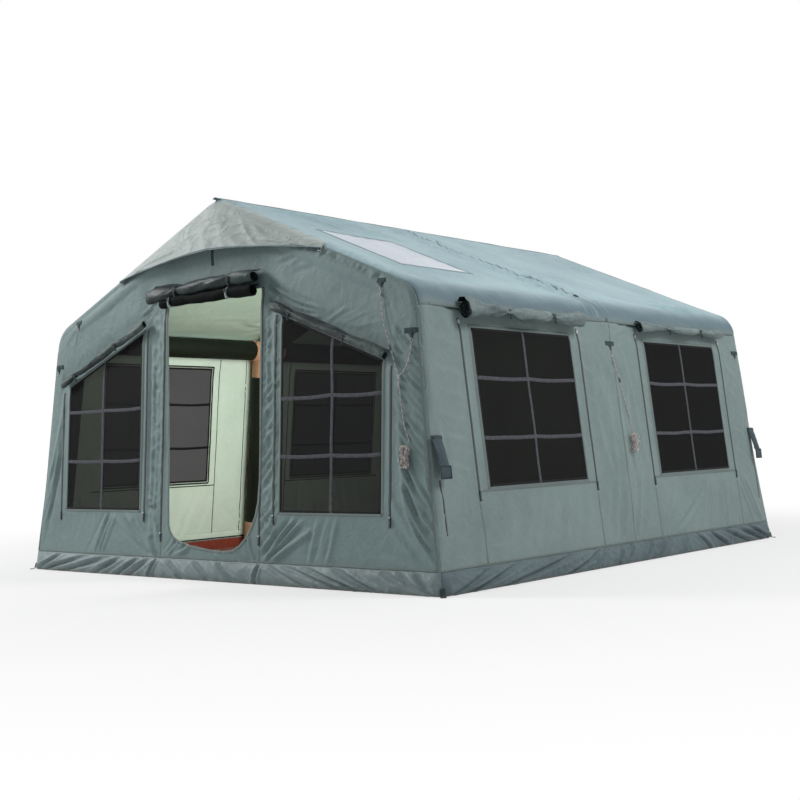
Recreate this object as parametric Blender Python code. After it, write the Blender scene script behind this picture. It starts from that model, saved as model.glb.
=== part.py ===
# Inflatable cabin tent: an air-tube frame, cloth walls and roof, net windows with rolled covers, and guy lines.
# Metres, +Z up. The origin is on the ground under the middle of the tent, and the door faces -Y.
import math

import bmesh
import bpy
from mathutils import Matrix, Vector

# Overall form
BASE_WIDTH = 4.00        # outside
BASE_LENGTH = 4.40       # outside, front to back
EAVE_HEIGHT = 1.82       # where the wall and roof planes would meet
RIDGE_HEIGHT = 2.60
SIDE_LEAN = 0.20         # how far a side wall comes in by the eave
END_LEAN = 0.10          # how far an end wall comes in by the eave
SHOULDER_RADIUS = 0.22   # soft bend of the cloth from wall to roof
BACK_RIDGE_REACH = 0.015 # how far the roof's back peak reaches past the base
CLOTH = 0.005            # wall and roof cloth with its lining
FIT = 0.0003             # gap between pieces that touch
SKIRT_HEIGHT = 0.14      # ground band
GROUND_CLOTH = 0.004

# Air tubes
TUBE_RADIUS = 0.095
SLEEVE_WALL = 0.005      # reinforcing sleeve over a tube
FOOT_SLEEVE = 0.24       # height of the sleeve at a column's foot
COLUMN_TOP = 1.50        # where a column meets its roof arch
ELBOW_SLEEVE_RUN = 0.14  # sleeve along the arch past the elbow's bend
EAVE_BEAM_RADIUS = 0.088
RIDGE_BEAM_RADIUS = 0.075
RIDGE_BEND = 0.12        # bend radius of an arch's axis at the ridge
JOINT_REACH = 0.17       # how far an elbow's side arm reaches along a beam

# Front wall
FRONT_SHIFT = -0.04      # the front windows sit this far left of the middle
DOOR_WIDTH = 0.94
DOOR_SHIFT = 0.03        # the doorway's middle, from the middle between its windows
DOOR_SILL = 0.25
DOOR_TOP = 1.93
DOOR_CORNER = 0.15       # radius of the doorway's lower corners
DOOR_ZIP_OUT = 0.025     # from the doorway's edge to its zip
END_WINDOW_NEAR = 0.71   # window edge beside the door, from the middle between the windows
END_WINDOW_FAR = 1.57
END_WINDOW_SILL = 0.465
END_WINDOW_HEAD = 1.73   # window head beside the door
END_WINDOW_LOW_HEAD = 1.385
END_ZIP_OUT = 0.07       # from a front window's far edge to its zip
END_BAR_HEIGHTS = (0.82, 1.19)
END_BAR_ACROSS = 0.52    # upright bar, from the near edge, as a share of the window's width
EAVE_ANCHOR_X = 1.52     # guy anchors at the ends of the front eave
EAVE_ANCHOR_Z = 1.885

# Side walls
SIDE_WINDOW_FROM_END = 0.58
SIDE_WINDOW_WIDTH = 1.11
SIDE_WINDOW_SILL = 0.60
SIDE_WINDOW_HEAD = 1.58
SIDE_BAR_HEIGHTS = (0.90, 1.27)
ZIP_MARGIN = 0.112       # from a window's edge to its zip
ZIP_DROP = 0.08          # how far a zip runs below the sill
ZIP_WIDTH = 0.014
ZIP_PROUD = 0.0015
BAR_WIDTH = 0.028
NET = 0.0015
BAR_THICK = 0.004
TAB_WIDTH = 0.12         # guy tabs on the side walls and beside the front corners
TAB_HEIGHT = 0.035
TAB_DROP = 0.045
TAB_THICK = 0.004
TAB_TOP = 1.56
TAB_FROM_END = 0.19      # back tabs, from the base corner
CORNER_TAB_X = 1.76      # front tabs, beside the corners

# Roof
SKYLIGHT_FRONT = -1.63   # along Y
SKYLIGHT_BACK = -0.90
SKYLIGHT_TOP = 0.63      # down the slope from the ridge
SKYLIGHT_BOTTOM = 1.41
SKYLIGHT_THICK = 0.003
VISOR_HALF = 1.02
VISOR_RISE = 0.10        # how far the hem's middle is above its corners
VISOR_CORNER = 0.03      # height left at the corners
VISOR_STAND_OFF = 0.05   # how far the hem's middle stands out

# Rolled covers
SIDE_ROLL_RADIUS = 0.052
SIDE_ROLL_HEIGHT = 1.685
SIDE_ROLL_OVERHANG = 0.11
BACK_ROLL_RADIUS = 0.042
END_ROLL_RADIUS = 0.034
END_ROLL_LIFT = 0.055    # from a front window's head to its roll's axis
DOOR_ROLL_RADIUS = 0.052
DOOR_ROLL_HEIGHT = 1.985
DOOR_ROLL_LEFT = 0.60    # reach of the roll to the left of the door's middle
DOOR_ROLL_RIGHT = 0.48
TIE_WIDTH = 0.028
TIE_PROUD = 0.004
TIE_PINCH = 0.20         # share of the radius drawn in beside a tie
TIE_PLACE = 0.22         # ties, from each end, as a share of a roll's length
TIE_SWELL = 1.08         # beside a tie the roll is this much thicker than under it
TIE_NEAR = 1.2           # where it is, from the tie's middle, in tie widths
TIE_FAR = 2.6            # where the roll has its full radius, in tie widths

# Zip pulls and their travel
PULL_WIDTH = 0.012
PULL_HEIGHT = 0.024
PULL_THICK = 0.0065
PULL_TAB = 0.040
PULL_TAB_THICK = 0.0025

# Port flaps near the ends of the right wall
FLAP_WIDTH = 0.10
FLAP_LENGTH = 0.26
FLAP_TOP = 0.92
FLAP_THICK = 0.004
FLAP_BULGE = 0.045
FLAP_HEM = 0.05          # stiff square at the lower end
FLAP_HEM_THICK = 0.009
FLAP_FROM_END = 0.105
PORT_ZIP_DROP = 0.32     # slit zip below a flap's lower end

# Webbing peg tabs at the base corners
PEG_TAB = 0.028         # radius of a tab's round end
PEG_TAB_THICK = 0.003

# Guy lines
CORD = 0.005
HANK_RUN = 0.09          # straight part of a hank's loop
HANK_HALF = 0.020        # half width of a loop
HANK_TURNS = 7
HANK_STEP = 0.0056       # from one loop to the next
HANK_WAIST = 0.25        # share of the width drawn in at the tie
HANK_FRONT = (1.730, 0.800)   # middle of the front hank on the front wall: x and height
HANK_MIDDLE = (0.140, 0.835)  # middle of the other on the right wall: y and height

# Derived from the sizes above
SIDE_ANGLE = math.atan2(SIDE_LEAN, EAVE_HEIGHT)
END_ANGLE = math.atan2(END_LEAN, EAVE_HEIGHT)
ROOF_ANGLE = math.atan2(RIDGE_HEIGHT - EAVE_HEIGHT, BASE_WIDTH / 2 - SIDE_LEAN)
SLEEVE_RADIUS = TUBE_RADIUS + SLEEVE_WALL
FRAME_INSET = CLOTH + FIT + SLEEVE_RADIUS
CLOTH_INSET = CLOTH + FIT


def clear_scene():
    for obj in list(bpy.data.objects):
        bpy.data.objects.remove(obj, do_unlink=True)


def collection(name):
    made = bpy.data.collections.new(name)
    bpy.context.scene.collection.children.link(made)
    return made


def material(name, colour, roughness, metallic=0.0, alpha=1.0):
    made = bpy.data.materials.new(name)
    made.use_nodes = True
    shader = made.node_tree.nodes["Principled BSDF"]
    shader.inputs["Base Color"].default_value = (*colour, 1.0)
    shader.inputs["Roughness"].default_value = roughness
    shader.inputs["Metallic"].default_value = metallic
    shader.inputs["Alpha"].default_value = alpha
    return made


clear_scene()
PARTS = collection("inflatable_cabin_tent")
CUTTERS = collection("cutters")
WALL_CLOTH = material("wall_cloth", (0.19, 0.235, 0.225), 0.75)
ROOF_CLOTH = material("roof_cloth", (0.25, 0.30, 0.30), 0.7)
SKIRT_CLOTH = material("skirt_cloth", (0.15, 0.19, 0.20), 0.6)
GROUND = material("groundsheet", (0.20, 0.06, 0.045), 0.7)
TUBE_CLOTH = material("tube_cloth", (0.035, 0.04, 0.03), 0.6)
NETTING = material("netting", (0.02, 0.02, 0.022), 0.8, alpha=0.75)
CLEAR_FILM = material("clear_film", (0.60, 0.62, 0.70), 0.25, alpha=0.8)
ROLL_CLOTH = material("roll_cloth", (0.16, 0.20, 0.19), 0.75)
HARDWARE = material("zip_hardware", (0.02, 0.025, 0.025), 0.4)
ROPE = material("rope", (0.65, 0.60, 0.58), 0.8)


def finish(obj, name, look, home=None):
    # Name, material and collection of a new object.
    obj.name = name
    obj.data.name = name
    obj.data.materials.clear()
    obj.data.materials.append(look)
    for old in list(obj.users_collection):
        old.objects.unlink(obj)
    (home or PARTS).objects.link(obj)
    return obj


def mesh_object(name, look, bm, home=None):
    bmesh.ops.remove_doubles(bm, verts=bm.verts, dist=1e-6)
    bmesh.ops.recalc_face_normals(bm, faces=bm.faces)
    mesh = bpy.data.meshes.new(name)
    bm.to_mesh(mesh)
    bm.free()
    return finish(bpy.data.objects.new(name, mesh), name, look, home)


def smooth(obj, degrees=35):
    obj.data.shade_smooth()
    obj.data.set_sharp_from_angle(angle=math.radians(degrees))
    return obj


def as_cutter(obj):
    obj.hide_render = True
    obj.display_type = "WIRE"
    return obj


def boolean(target, other, operation):
    made = target.modifiers.new(operation.lower(), "BOOLEAN")
    made.operation = operation
    made.solver = "EXACT"
    made.object = as_cutter(other)


def loft(name, look, loops, wrap=False, home=None):
    # Faces between loops of equal count; capped at both ends unless it wraps round to the first loop.
    bm = bmesh.new()
    rings = [[bm.verts.new(point) for point in loop] for loop in loops]
    pairs = list(zip(rings, rings[1:]))
    if wrap:
        pairs.append((rings[-1], rings[0]))
    else:
        bm.faces.new(rings[0])
        bm.faces.new(rings[-1])
    for low, high in pairs:
        for i in range(len(low)):
            j = (i + 1) % len(low)
            bm.faces.new((low[i], low[j], high[j], high[i]))
    return mesh_object(name, look, bm, home)


def flat_outline(name, look, outlines, thickness, home=None):
    # A flat outline with its holes, as a 2D curve turned into a closed mesh. Its middle plane is Z = 0.
    curve = bpy.data.curves.new(name, "CURVE")
    curve.dimensions = "2D"
    curve.fill_mode = "BOTH"
    curve.extrude = thickness / 2
    for points in outlines:
        spline = curve.splines.new("POLY")
        spline.points.add(len(points) - 1)
        spline.use_cyclic_u = True
        for point, (x, y) in zip(spline.points, points):
            point.co = (x, y, 0.0, 1.0)
    return meshed(curve, name, look, home)


def meshed(curve, name, look, home=None):
    # A curve's evaluated mesh with its caps welded.
    guide = bpy.data.objects.new(name + "_curve", curve)
    PARTS.objects.link(guide)
    bpy.context.view_layer.update()
    graph = bpy.context.evaluated_depsgraph_get()
    mesh = bpy.data.meshes.new_from_object(guide.evaluated_get(graph))
    bm = bmesh.new()
    bm.from_mesh(mesh)
    bpy.data.objects.remove(guide, do_unlink=True)
    bpy.data.curves.remove(curve)
    bpy.data.meshes.remove(mesh)
    return mesh_object(name, look, bm, home)


def tube_curve(name, points, radius, resolution, radii=None):
    curve = bpy.data.curves.new(name, "CURVE")
    curve.dimensions = "3D"
    curve.bevel_depth = radius
    curve.bevel_resolution = resolution
    curve.use_fill_caps = True
    spline = curve.splines.new("POLY")
    spline.points.add(len(points) - 1)
    for i, point in enumerate(points):
        spline.points[i].co = (*point, 1.0)
        if radii:
            spline.points[i].radius = radii[i] / radius
    return curve


def tube(name, look, points, radius, resolution=2, radii=None, home=None):
    return smooth(meshed(tube_curve(name, points, radius, resolution, radii), name, look, home))


def boxes(name, look, spans, home=None):
    # Separate boxes in one mesh, each given by its lowest and highest corner.
    bm = bmesh.new()
    for low, high in spans:
        low, high = Vector(low), Vector(high)
        size = Matrix.Diagonal((*(high - low), 1.0))
        bmesh.ops.create_cube(bm, size=1.0, matrix=Matrix.Translation((low + high) / 2) @ size)
    return mesh_object(name, look, bm, home)


def arc(centre, radius, start, end, steps):
    # Points on an arc, angles in radians.
    turn = (end - start) / steps
    return [(centre[0] + radius * math.cos(start + turn * i), centre[1] + radius * math.sin(start + turn * i))
            for i in range(steps + 1)]


def wall_frame(side):
    # Frame of a wall's outer plane: U to the right seen from outside, V up the wall, W out of it.
    frames = {
        "front": ((0, -BASE_LENGTH / 2), (1, 0), END_ANGLE),
        "back": ((0, BASE_LENGTH / 2), (-1, 0), END_ANGLE),
        "right": ((BASE_WIDTH / 2, 0), (0, 1), SIDE_ANGLE),
        "left": ((-BASE_WIDTH / 2, 0), (0, -1), SIDE_ANGLE),
    }
    (x, y), across, lean = frames[side]
    u = Vector((*across, 0))
    out = u.cross(Vector((0, 0, 1)))
    v = Vector((0, 0, 1)) * math.cos(lean) - out * math.sin(lean)
    w = u.cross(v)
    frame = Matrix((u, v, w)).transposed().to_4x4()
    frame.translation = (x, y, 0)
    return frame


def up_wall(side, height):
    # V on a wall's outer face at a height above the ground.
    lean = END_ANGLE if side in ("front", "back") else SIDE_ANGLE
    return height / math.cos(lean)


def wall_x(height, inset):
    # Half width of the tent at a height, moved in from the outer face.
    return BASE_WIDTH / 2 - height * math.tan(SIDE_ANGLE) - inset / math.cos(SIDE_ANGLE)


def end_y(height, inset):
    # Half length of the tent at a height, moved in from the outer face.
    return BASE_LENGTH / 2 - height * math.tan(END_ANGLE) - inset / math.cos(END_ANGLE)


def roof_z(x, inset):
    return RIDGE_HEIGHT - abs(x) * math.tan(ROOF_ANGLE) - inset / math.cos(ROOF_ANGLE)


def shoulder_centre():
    # Where the wall and the roof, both moved in by the shoulder's radius, meet.
    wall = wall_x(0, SHOULDER_RADIUS)
    ridge = roof_z(0, SHOULDER_RADIUS)
    z = (ridge - wall * math.tan(ROOF_ANGLE)) / (1 - math.tan(SIDE_ANGLE) * math.tan(ROOF_ANGLE))
    return wall - z * math.tan(SIDE_ANGLE), z


def shoulder(inset, steps=8):
    # The bend from wall to roof on the +X side, bottom to top, as (x, z).
    return arc(shoulder_centre(), SHOULDER_RADIUS - inset, SIDE_ANGLE, math.pi / 2 - ROOF_ANGLE, steps)


def seam_height():
    return shoulder(0)[0][1]


def gable_outline(low, inset, steps=8):
    # Outline of an end wall, as (x, z) from the lower left corner anticlockwise.
    right = [(wall_x(low, inset), low), *shoulder(inset, steps)]
    return [(-x, z) for x, z in right][:1] + right + [(0, roof_z(0, inset))] + [
        (-x, z) for x, z in reversed(right[1:])]


def rounded_doorway():
    # The doorway, as (u, height), with round lower corners.
    middle = FRONT_SHIFT + DOOR_SHIFT
    left = middle - DOOR_WIDTH / 2
    right = middle + DOOR_WIDTH / 2
    low = DOOR_SILL + DOOR_CORNER
    return [(left, DOOR_TOP),
            *arc((left + DOOR_CORNER, low), DOOR_CORNER, math.pi, 1.5 * math.pi, 6),
            *arc((right - DOOR_CORNER, low), DOOR_CORNER, 1.5 * math.pi, 2 * math.pi, 6),
            (right, DOOR_TOP)]


def end_window(hand, clearance=0.0):
    # A front window's outline, as (u, height). hand is -1 for the left one and +1 for the right.
    near = END_WINDOW_NEAR + clearance
    far = END_WINDOW_FAR - clearance
    drop = (END_WINDOW_HEAD - END_WINDOW_LOW_HEAD) / (END_WINDOW_FAR - END_WINDOW_NEAR)
    top = clearance * math.hypot(1, drop)

    def head(x):
        return END_WINDOW_HEAD - (x - END_WINDOW_NEAR) * drop - top

    corners = [(near, END_WINDOW_SILL + clearance), (far, END_WINDOW_SILL + clearance),
               (far, head(far)), (near, head(near))]
    return [(FRONT_SHIFT + hand * x, z) for x, z in corners]


def side_window(place, clearance=0.0):
    # A side window's outline as (y, height). place is -1 for the front one and +1 for the back.
    outer = BASE_LENGTH / 2 - SIDE_WINDOW_FROM_END - clearance
    inner = BASE_LENGTH / 2 - SIDE_WINDOW_FROM_END - SIDE_WINDOW_WIDTH + clearance
    low = SIDE_WINDOW_SILL + clearance
    high = SIDE_WINDOW_HEAD - clearance
    near, far = sorted((place * outer, place * inner))
    return [(near, low), (far, low), (far, high), (near, high)]


def on_wall(side, outline):
    return [(u, up_wall(side, height)) for u, height in outline]


def strip(u, low, high, width, proud):
    # A raised strip on a wall, sunk a little into it.
    return (u - width / 2, low, -CLOTH / 2), (u + width / 2, high, proud)


def zip_lines():
    # Every cover zip as (wall, name, u, lowest height, highest height). The pull rests at the low end.
    lines = []
    roll_low = SIDE_ROLL_HEIGHT - SIDE_ROLL_RADIUS
    for side in ("right", "left"):
        for place, word in ((-1, "front"), (1, "back")):
            outline = side_window(place)
            edges = (outline[0][0] - ZIP_MARGIN, outline[1][0] + ZIP_MARGIN)
            for near, y in zip(("a", "b"), edges):
                u = y if side == "right" else -y
                lines.append((side, f"{side}_{word}_{near}", u, SIDE_WINDOW_SILL - ZIP_DROP, roll_low))
    for hand, word in ((-1, "left"), (1, "right")):
        for x, near in ((END_WINDOW_NEAR - ZIP_MARGIN / 2, "a"), (END_WINDOW_FAR + END_ZIP_OUT, "b")):
            drop = (END_WINDOW_HEAD - END_WINDOW_LOW_HEAD) / (END_WINDOW_FAR - END_WINDOW_NEAR)
            head = END_WINDOW_HEAD - (x - END_WINDOW_NEAR) * drop
            top = head + END_ROLL_LIFT - 2 * END_ROLL_RADIUS
            lines.append(("front", f"end_{word}_{near}", FRONT_SHIFT + hand * x,
                          END_WINDOW_SILL - ZIP_DROP, top))
        x = FRONT_SHIFT + DOOR_SHIFT + hand * (DOOR_WIDTH / 2 + DOOR_ZIP_OUT)
        top = DOOR_ROLL_HEIGHT - DOOR_ROLL_RADIUS
        lines.append(("front", f"door_{word}", x, DOOR_SILL, top))
    return lines


def zip_strips(side):
    return [strip(u, up_wall(side, low), up_wall(side, high), ZIP_WIDTH, ZIP_PROUD)
            for wall, _, u, low, high in zip_lines() if wall == side]


def tab_outline(u, top):
    # A sewn guy tab: a flat patch with a drop in its middle.
    half, drop = TAB_WIDTH / 2, TAB_WIDTH / 5
    low = top - TAB_HEIGHT
    corner = low + TAB_HEIGHT / 5
    return [(u - half, corner), (u - drop, low), (u - drop / 2, low - TAB_DROP), (u + drop / 2, low - TAB_DROP),
            (u + drop, low), (u + half, corner), (u + half, top), (u - half, top)]


def wall(side, outline, holes):
    obj = flat_outline(f"{side}_wall", WALL_CLOTH, [outline, *holes], CLOTH)
    obj.data.transform(Matrix.Translation((0, 0, -CLOTH / 2)))
    obj.matrix_world = wall_frame(side)
    return obj


def add_trim(obj, side, spans, tabs):
    # Zip tapes and guy tabs are sewn on: they become one piece with the wall.
    if spans:
        tapes = boxes(f"{side}_tapes", HARDWARE, spans, CUTTERS)
        tapes.matrix_world = wall_frame(side)
        boolean(obj, tapes, "UNION")
    for i, (u, top) in enumerate(tabs):
        depth = TAB_THICK + CLOTH / 2
        tab = flat_outline(f"{side}_tab_{i}", HARDWARE, [tab_outline(u, top)], depth, CUTTERS)
        tab.data.transform(Matrix.Translation((0, 0, TAB_THICK - depth / 2)))
        tab.matrix_world = wall_frame(side)
        boolean(obj, tab, "UNION")


def wall_foot(lean):
    # Height of a wall's lower edge, whose inner corner dips by the lean.
    return SKIRT_HEIGHT + FIT + CLOTH * math.sin(lean)


def side_outline(side):
    low = wall_foot(SIDE_ANGLE)
    high = seam_height() - FIT
    return on_wall(side, [(-end_y(low, 0), low), (end_y(low, 0), low), (end_y(high, 0), high),
                          (-end_y(high, 0), high)])


def side_wall(side):
    holes = [on_wall(side, side_window(place)) for place in (-1, 1)]
    obj = wall(side, side_outline(side), holes)
    spans = zip_strips(side)
    if side == "right":
        for u in flap_places():
            top = FLAP_TOP - FLAP_LENGTH
            spans.append(strip(u, up_wall(side, top - PORT_ZIP_DROP), up_wall(side, top), ZIP_WIDTH, ZIP_PROUD))
    end = BASE_LENGTH / 2 - TAB_FROM_END
    back = end if side == "right" else -end
    add_trim(obj, side, spans, [(u, up_wall(side, TAB_TOP)) for u in (0.0, back)])
    return obj


def end_wall(side, holes):
    outline = on_wall(side, gable_outline(wall_foot(END_ANGLE), CLOTH_INSET))
    return wall(side, outline, [on_wall(side, hole) for hole in holes])


def front_wall():
    obj = end_wall("front", [rounded_doorway(), end_window(-1), end_window(1)])
    tabs = [(hand * x, up_wall("front", top)) for hand in (-1, 1)
            for x, top in ((EAVE_ANCHOR_X, EAVE_ANCHOR_Z), (CORNER_TAB_X, TAB_TOP))]
    add_trim(obj, "front", zip_strips("front"), tabs)
    return obj


def skirt():
    # The ground band: one closed ring, leaning with the walls.
    def ring(height, inset):
        x, y = wall_x(height, inset), end_y(height, inset)
        return [(-x, -y, height), (x, -y, height), (x, y, height), (-x, y, height)]

    obj = loft("skirt", SKIRT_CLOTH,
               [ring(0, 0), ring(SKIRT_HEIGHT, 0), ring(SKIRT_HEIGHT, CLOTH), ring(0, CLOTH)], wrap=True)
    for i, (sx, sy) in enumerate(((-1, -1), (1, -1), (1, 1), (-1, 1))):
        tab = flat_outline(f"peg_tab_{i}", HARDWARE, [arc((0, 0), PEG_TAB, 0, 2 * math.pi, 16)[:-1]],
                           PEG_TAB_THICK, CUTTERS)
        out = (PEG_TAB - CLOTH) / math.sqrt(2)
        tab.location = (sx * (BASE_WIDTH / 2 + out), sy * (BASE_LENGTH / 2 + out), PEG_TAB_THICK / 2)
        boolean(obj, tab, "UNION")
    return obj


def groundsheet():
    x, y = wall_x(0, CLOTH_INSET + FIT), end_y(0, CLOTH_INSET + FIT)
    top_x, top_y = wall_x(GROUND_CLOTH, CLOTH_INSET + FIT), end_y(GROUND_CLOTH, CLOTH_INSET + FIT)
    low = [(-x, -y, 0), (x, -y, 0), (x, y, 0), (-x, y, 0)]
    high = [(-top_x, -top_y, GROUND_CLOTH), (top_x, -top_y, GROUND_CLOTH), (top_x, top_y, GROUND_CLOTH),
            (-top_x, top_y, GROUND_CLOTH)]
    return loft("groundsheet", GROUND, [low, high])


def roof_back(z):
    # Y of the roof's back edge, which slants out from the eave to the ridge.
    eave, ridge = end_y(EAVE_HEIGHT, 0), BASE_LENGTH / 2 + BACK_RIDGE_REACH
    return eave + (ridge - eave) * max(0.0, z - seam_height()) / (RIDGE_HEIGHT - seam_height())


def roof_panel(hand, name):
    # From the ridge over the shoulder to the seam on the side wall.
    outer = [*shoulder(0), (FIT, roof_z(FIT, 0))]
    inner = [*shoulder(CLOTH), (FIT, roof_z(FIT, CLOTH))]
    profile = [(hand * x, z) for x, z in outer + inner[::-1]]
    front = [(x, -end_y(z, 0), z) for x, z in profile]
    back = [(x, roof_back(z), z) for x, z in profile]
    return smooth(loft(name, ROOF_CLOTH, [front, back]))


def roof_frame():
    # Frame of the right slope: U to the back, V up the slope from the ridge, W out.
    frame = Matrix(((0, 1, 0), (-math.cos(ROOF_ANGLE), 0, math.sin(ROOF_ANGLE)),
                    (math.sin(ROOF_ANGLE), 0, math.cos(ROOF_ANGLE)))).transposed().to_4x4()
    frame.translation = (0, 0, RIDGE_HEIGHT)
    return frame


def skylight(roof):
    hole = boxes("skylight_hole", CLEAR_FILM, [((SKYLIGHT_FRONT, -SKYLIGHT_BOTTOM, -2 * CLOTH),
                                                (SKYLIGHT_BACK, -SKYLIGHT_TOP, CLOTH))], CUTTERS)
    hole.matrix_world = roof_frame()
    boolean(roof, hole, "DIFFERENCE")
    low = (CLOTH + SKYLIGHT_THICK) / 2
    film = boxes("skylight", CLEAR_FILM, [((SKYLIGHT_FRONT + FIT, -SKYLIGHT_BOTTOM + FIT, -low),
                                           (SKYLIGHT_BACK - FIT, -SKYLIGHT_TOP - FIT, SKYLIGHT_THICK - low))])
    film.matrix_world = roof_frame()
    return film


def visor(name, facing, top_y, under):
    # A cap over a gable's peak, from the roof's edge down to a hem that stands out in its middle.
    # Its top lies against the ends of the roof panels, or under them by the given inset.
    columns, rows = 16, 4

    def point(i, j, depth):
        x = VISOR_HALF * (2 * i / columns - 1)
        high = roof_z(x, under)
        rise = VISOR_RISE * (1 - abs(x / VISOR_HALF) ** 1.5)
        low = roof_z(VISOR_HALF, 0) - VISOR_CORNER + rise
        z = low + (high - low) * j / rows
        y = top_y(high) * j / rows + end_y(low, 0) * (1 - j / rows)
        y = max(y, end_y(z, 0))
        stand = VISOR_STAND_OFF * math.sin(math.pi * i / columns) * (1 - j / rows)
        return x, facing * (y + FIT + stand + depth), z

    bm = bmesh.new()
    skins = [[[bm.verts.new(point(i, j, depth)) for i in range(columns + 1)] for j in range(rows + 1)]
             for depth in (0.0, CLOTH)]
    for skin in skins:
        for low, high in zip(skin, skin[1:]):
            for i in range(columns):
                bm.faces.new((low[i], low[i + 1], high[i + 1], high[i]))

    def border(skin):
        left = [row[0] for row in skin[1:-1]]
        right = [row[-1] for row in skin[1:-1]]
        return skin[0] + right + skin[-1][::-1] + left[::-1]

    inner, outer = border(skins[0]), border(skins[1])
    for i in range(len(inner)):
        j = (i + 1) % len(inner)
        bm.faces.new((inner[i], inner[j], outer[j], outer[i]))
    return smooth(mesh_object(name, ROOF_CLOTH, bm))


def arch_axis():
    # Axis of a roof arch from column top to column top, as (x, z), and its radius at each point.
    half = [(wall_x(COLUMN_TOP + FIT, FRAME_INSET), COLUMN_TOP + FIT), *shoulder(FRAME_INSET, 6)]
    foot, elbow_end = half[0], half[-1]
    along = Vector((-math.cos(ROOF_ANGLE), math.sin(ROOF_ANGLE)))
    sleeve_end = Vector(elbow_end) + along * ELBOW_SLEEVE_RUN
    step = sleeve_end + along * SLEEVE_WALL
    reach = RIDGE_BEND * math.sin(ROOF_ANGLE)
    centre = (0, roof_z(0, FRAME_INSET) - RIDGE_BEND / math.cos(ROOF_ANGLE))
    crown = [(x, z) for x, z in arc(centre, RIDGE_BEND, math.pi / 2 - ROOF_ANGLE, math.pi / 2, 2)]
    right = [*half, tuple(sleeve_end), tuple(step), *crown]
    radii = [SLEEVE_RADIUS] * (len(half) + 1) + [TUBE_RADIUS] * (1 + len(crown))
    path = right + [(-x, z) for x, z in reversed(right[:-1])]
    return path, radii + radii[-2::-1]


def arch_y(place, height):
    # Y of a frame's axis. The end frames lean with the end walls, and the middle one is upright.
    return place * end_y(height, FRAME_INSET)


def roof_arch(place, word):
    path, radii = arch_axis()
    points = [(x, arch_y(place, z), z) for x, z in path]
    obj = tube(f"roof_arch_{word}", TUBE_CLOTH, points, TUBE_RADIUS, 5, radii)
    for i, (x, z, radius, _) in enumerate(beam_lines()):
        for toward in (-1, 1):
            if place == toward:
                continue
            y = arch_y(place, z)
            arm = tube(f"arm_{word}_{i}_{toward}", TUBE_CLOTH,
                       [(x, y, z), (x, y + toward * JOINT_REACH, z)], radius + SLEEVE_WALL / 2, 5, home=CUTTERS)
            boolean(obj, arm, "UNION")
    return obj


def beam_lines():
    # Each beam's axis as (x, z), its radius and its name.
    x, z = shoulder(FRAME_INSET, 6)[3]
    ridge = roof_z(0, FRAME_INSET) - RIDGE_BEND * (1 / math.cos(ROOF_ANGLE) - 1)
    return [(-x, z, EAVE_BEAM_RADIUS, "eave_beam_{}_left"), (x, z, EAVE_BEAM_RADIUS, "eave_beam_{}_right"),
            (0, ridge, RIDGE_BEAM_RADIUS, "ridge_beam_{}")]


def beams():
    for x, z, radius, name in beam_lines():
        for place, word in ((-1, "front"), (1, "back")):
            ends = (place * (JOINT_REACH + FIT), arch_y(place, z) - place * (JOINT_REACH + FIT))
            tube(name.format(word), TUBE_CLOTH, [(x, y, z) for y in ends], radius, 5)


def column(hand, place, name):
    # An upright tube with a sleeve at its foot, cut level where it stands on the groundsheet.
    floor = GROUND_CLOTH + FIT

    def axis(height):
        return Vector((hand * wall_x(height, FRAME_INSET), arch_y(place, height), height))

    foot, top = axis(floor), axis(COLUMN_TOP)
    up = (top - foot).normalized()
    run = (top - foot).length
    profile = [(0, 0), (SLEEVE_RADIUS, 0), (SLEEVE_RADIUS, FOOT_SLEEVE), (TUBE_RADIUS, FOOT_SLEEVE + SLEEVE_WALL),
               (TUBE_RADIUS, run), (0, run)]
    bm = bmesh.new()
    verts = [bm.verts.new((x, 0, z)) for x, z in profile]
    edges = [bm.edges.new(pair) for pair in zip(verts, verts[1:])]
    bmesh.ops.spin(bm, geom=verts + edges, axis=(0, 0, 1), cent=(0, 0, 0), angle=2 * math.pi, steps=16,
                   use_merge=True)
    bmesh.ops.transform(bm, verts=bm.verts,
                        matrix=Matrix.Translation(foot) @ up.to_track_quat("Z", "Y").to_matrix().to_4x4())
    bm.verts.ensure_lookup_table()
    for vert in bm.verts:
        if (vert.co - foot).dot(up) < FOOT_SLEEVE / 2:
            vert.co += up * ((floor - vert.co.z) / up.z)
    return smooth(mesh_object(name, TUBE_CLOTH, bm))


def net(name, side, outline, bars):
    # A net panel with flat tape bars across it and round its edge.
    us = [u for u, _ in outline]
    vs = [v for _, v in outline]
    low_u, high_u, low_v, high_v = min(us), max(us), min(vs), max(vs)
    obj = flat_outline(name, NETTING, [outline], NET)
    uprights, levels = bars
    # Each pane is a hole in the tape lattice; the lattice is the outline less the panes.
    columns = [low_u + BAR_WIDTH / 2, *uprights, high_u - BAR_WIDTH / 2]
    rows = [low_v + BAR_WIDTH / 2, *levels, high_v - BAR_WIDTH / 2]

    def inside(u, top):
        # Keeps a pane's top under a sloping head.
        (u0, v0), (u1, v1) = sorted((outline[2], outline[3]))
        head = v0 + (v1 - v0) * (u - u0) / (u1 - u0) - BAR_WIDTH
        return min(top, head)

    panes = []
    for left, right in zip(columns, columns[1:]):
        for low, high in zip(rows, rows[1:]):
            a, b = left + BAR_WIDTH / 2, right - BAR_WIDTH / 2
            floor, top = low + BAR_WIDTH / 2, high - BAR_WIDTH / 2
            panes.append([(a, floor), (b, floor), (b, inside(b, top)), (a, inside(a, top))])
    tapes = flat_outline(name + "_tapes", HARDWARE, [outline, *panes], BAR_THICK, CUTTERS)
    for piece in (obj, tapes):
        piece.data.transform(Matrix.Translation((0, 0, -CLOTH / 2)))
        piece.matrix_world = wall_frame(side)
    boolean(obj, tapes, "UNION")
    return obj


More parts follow.
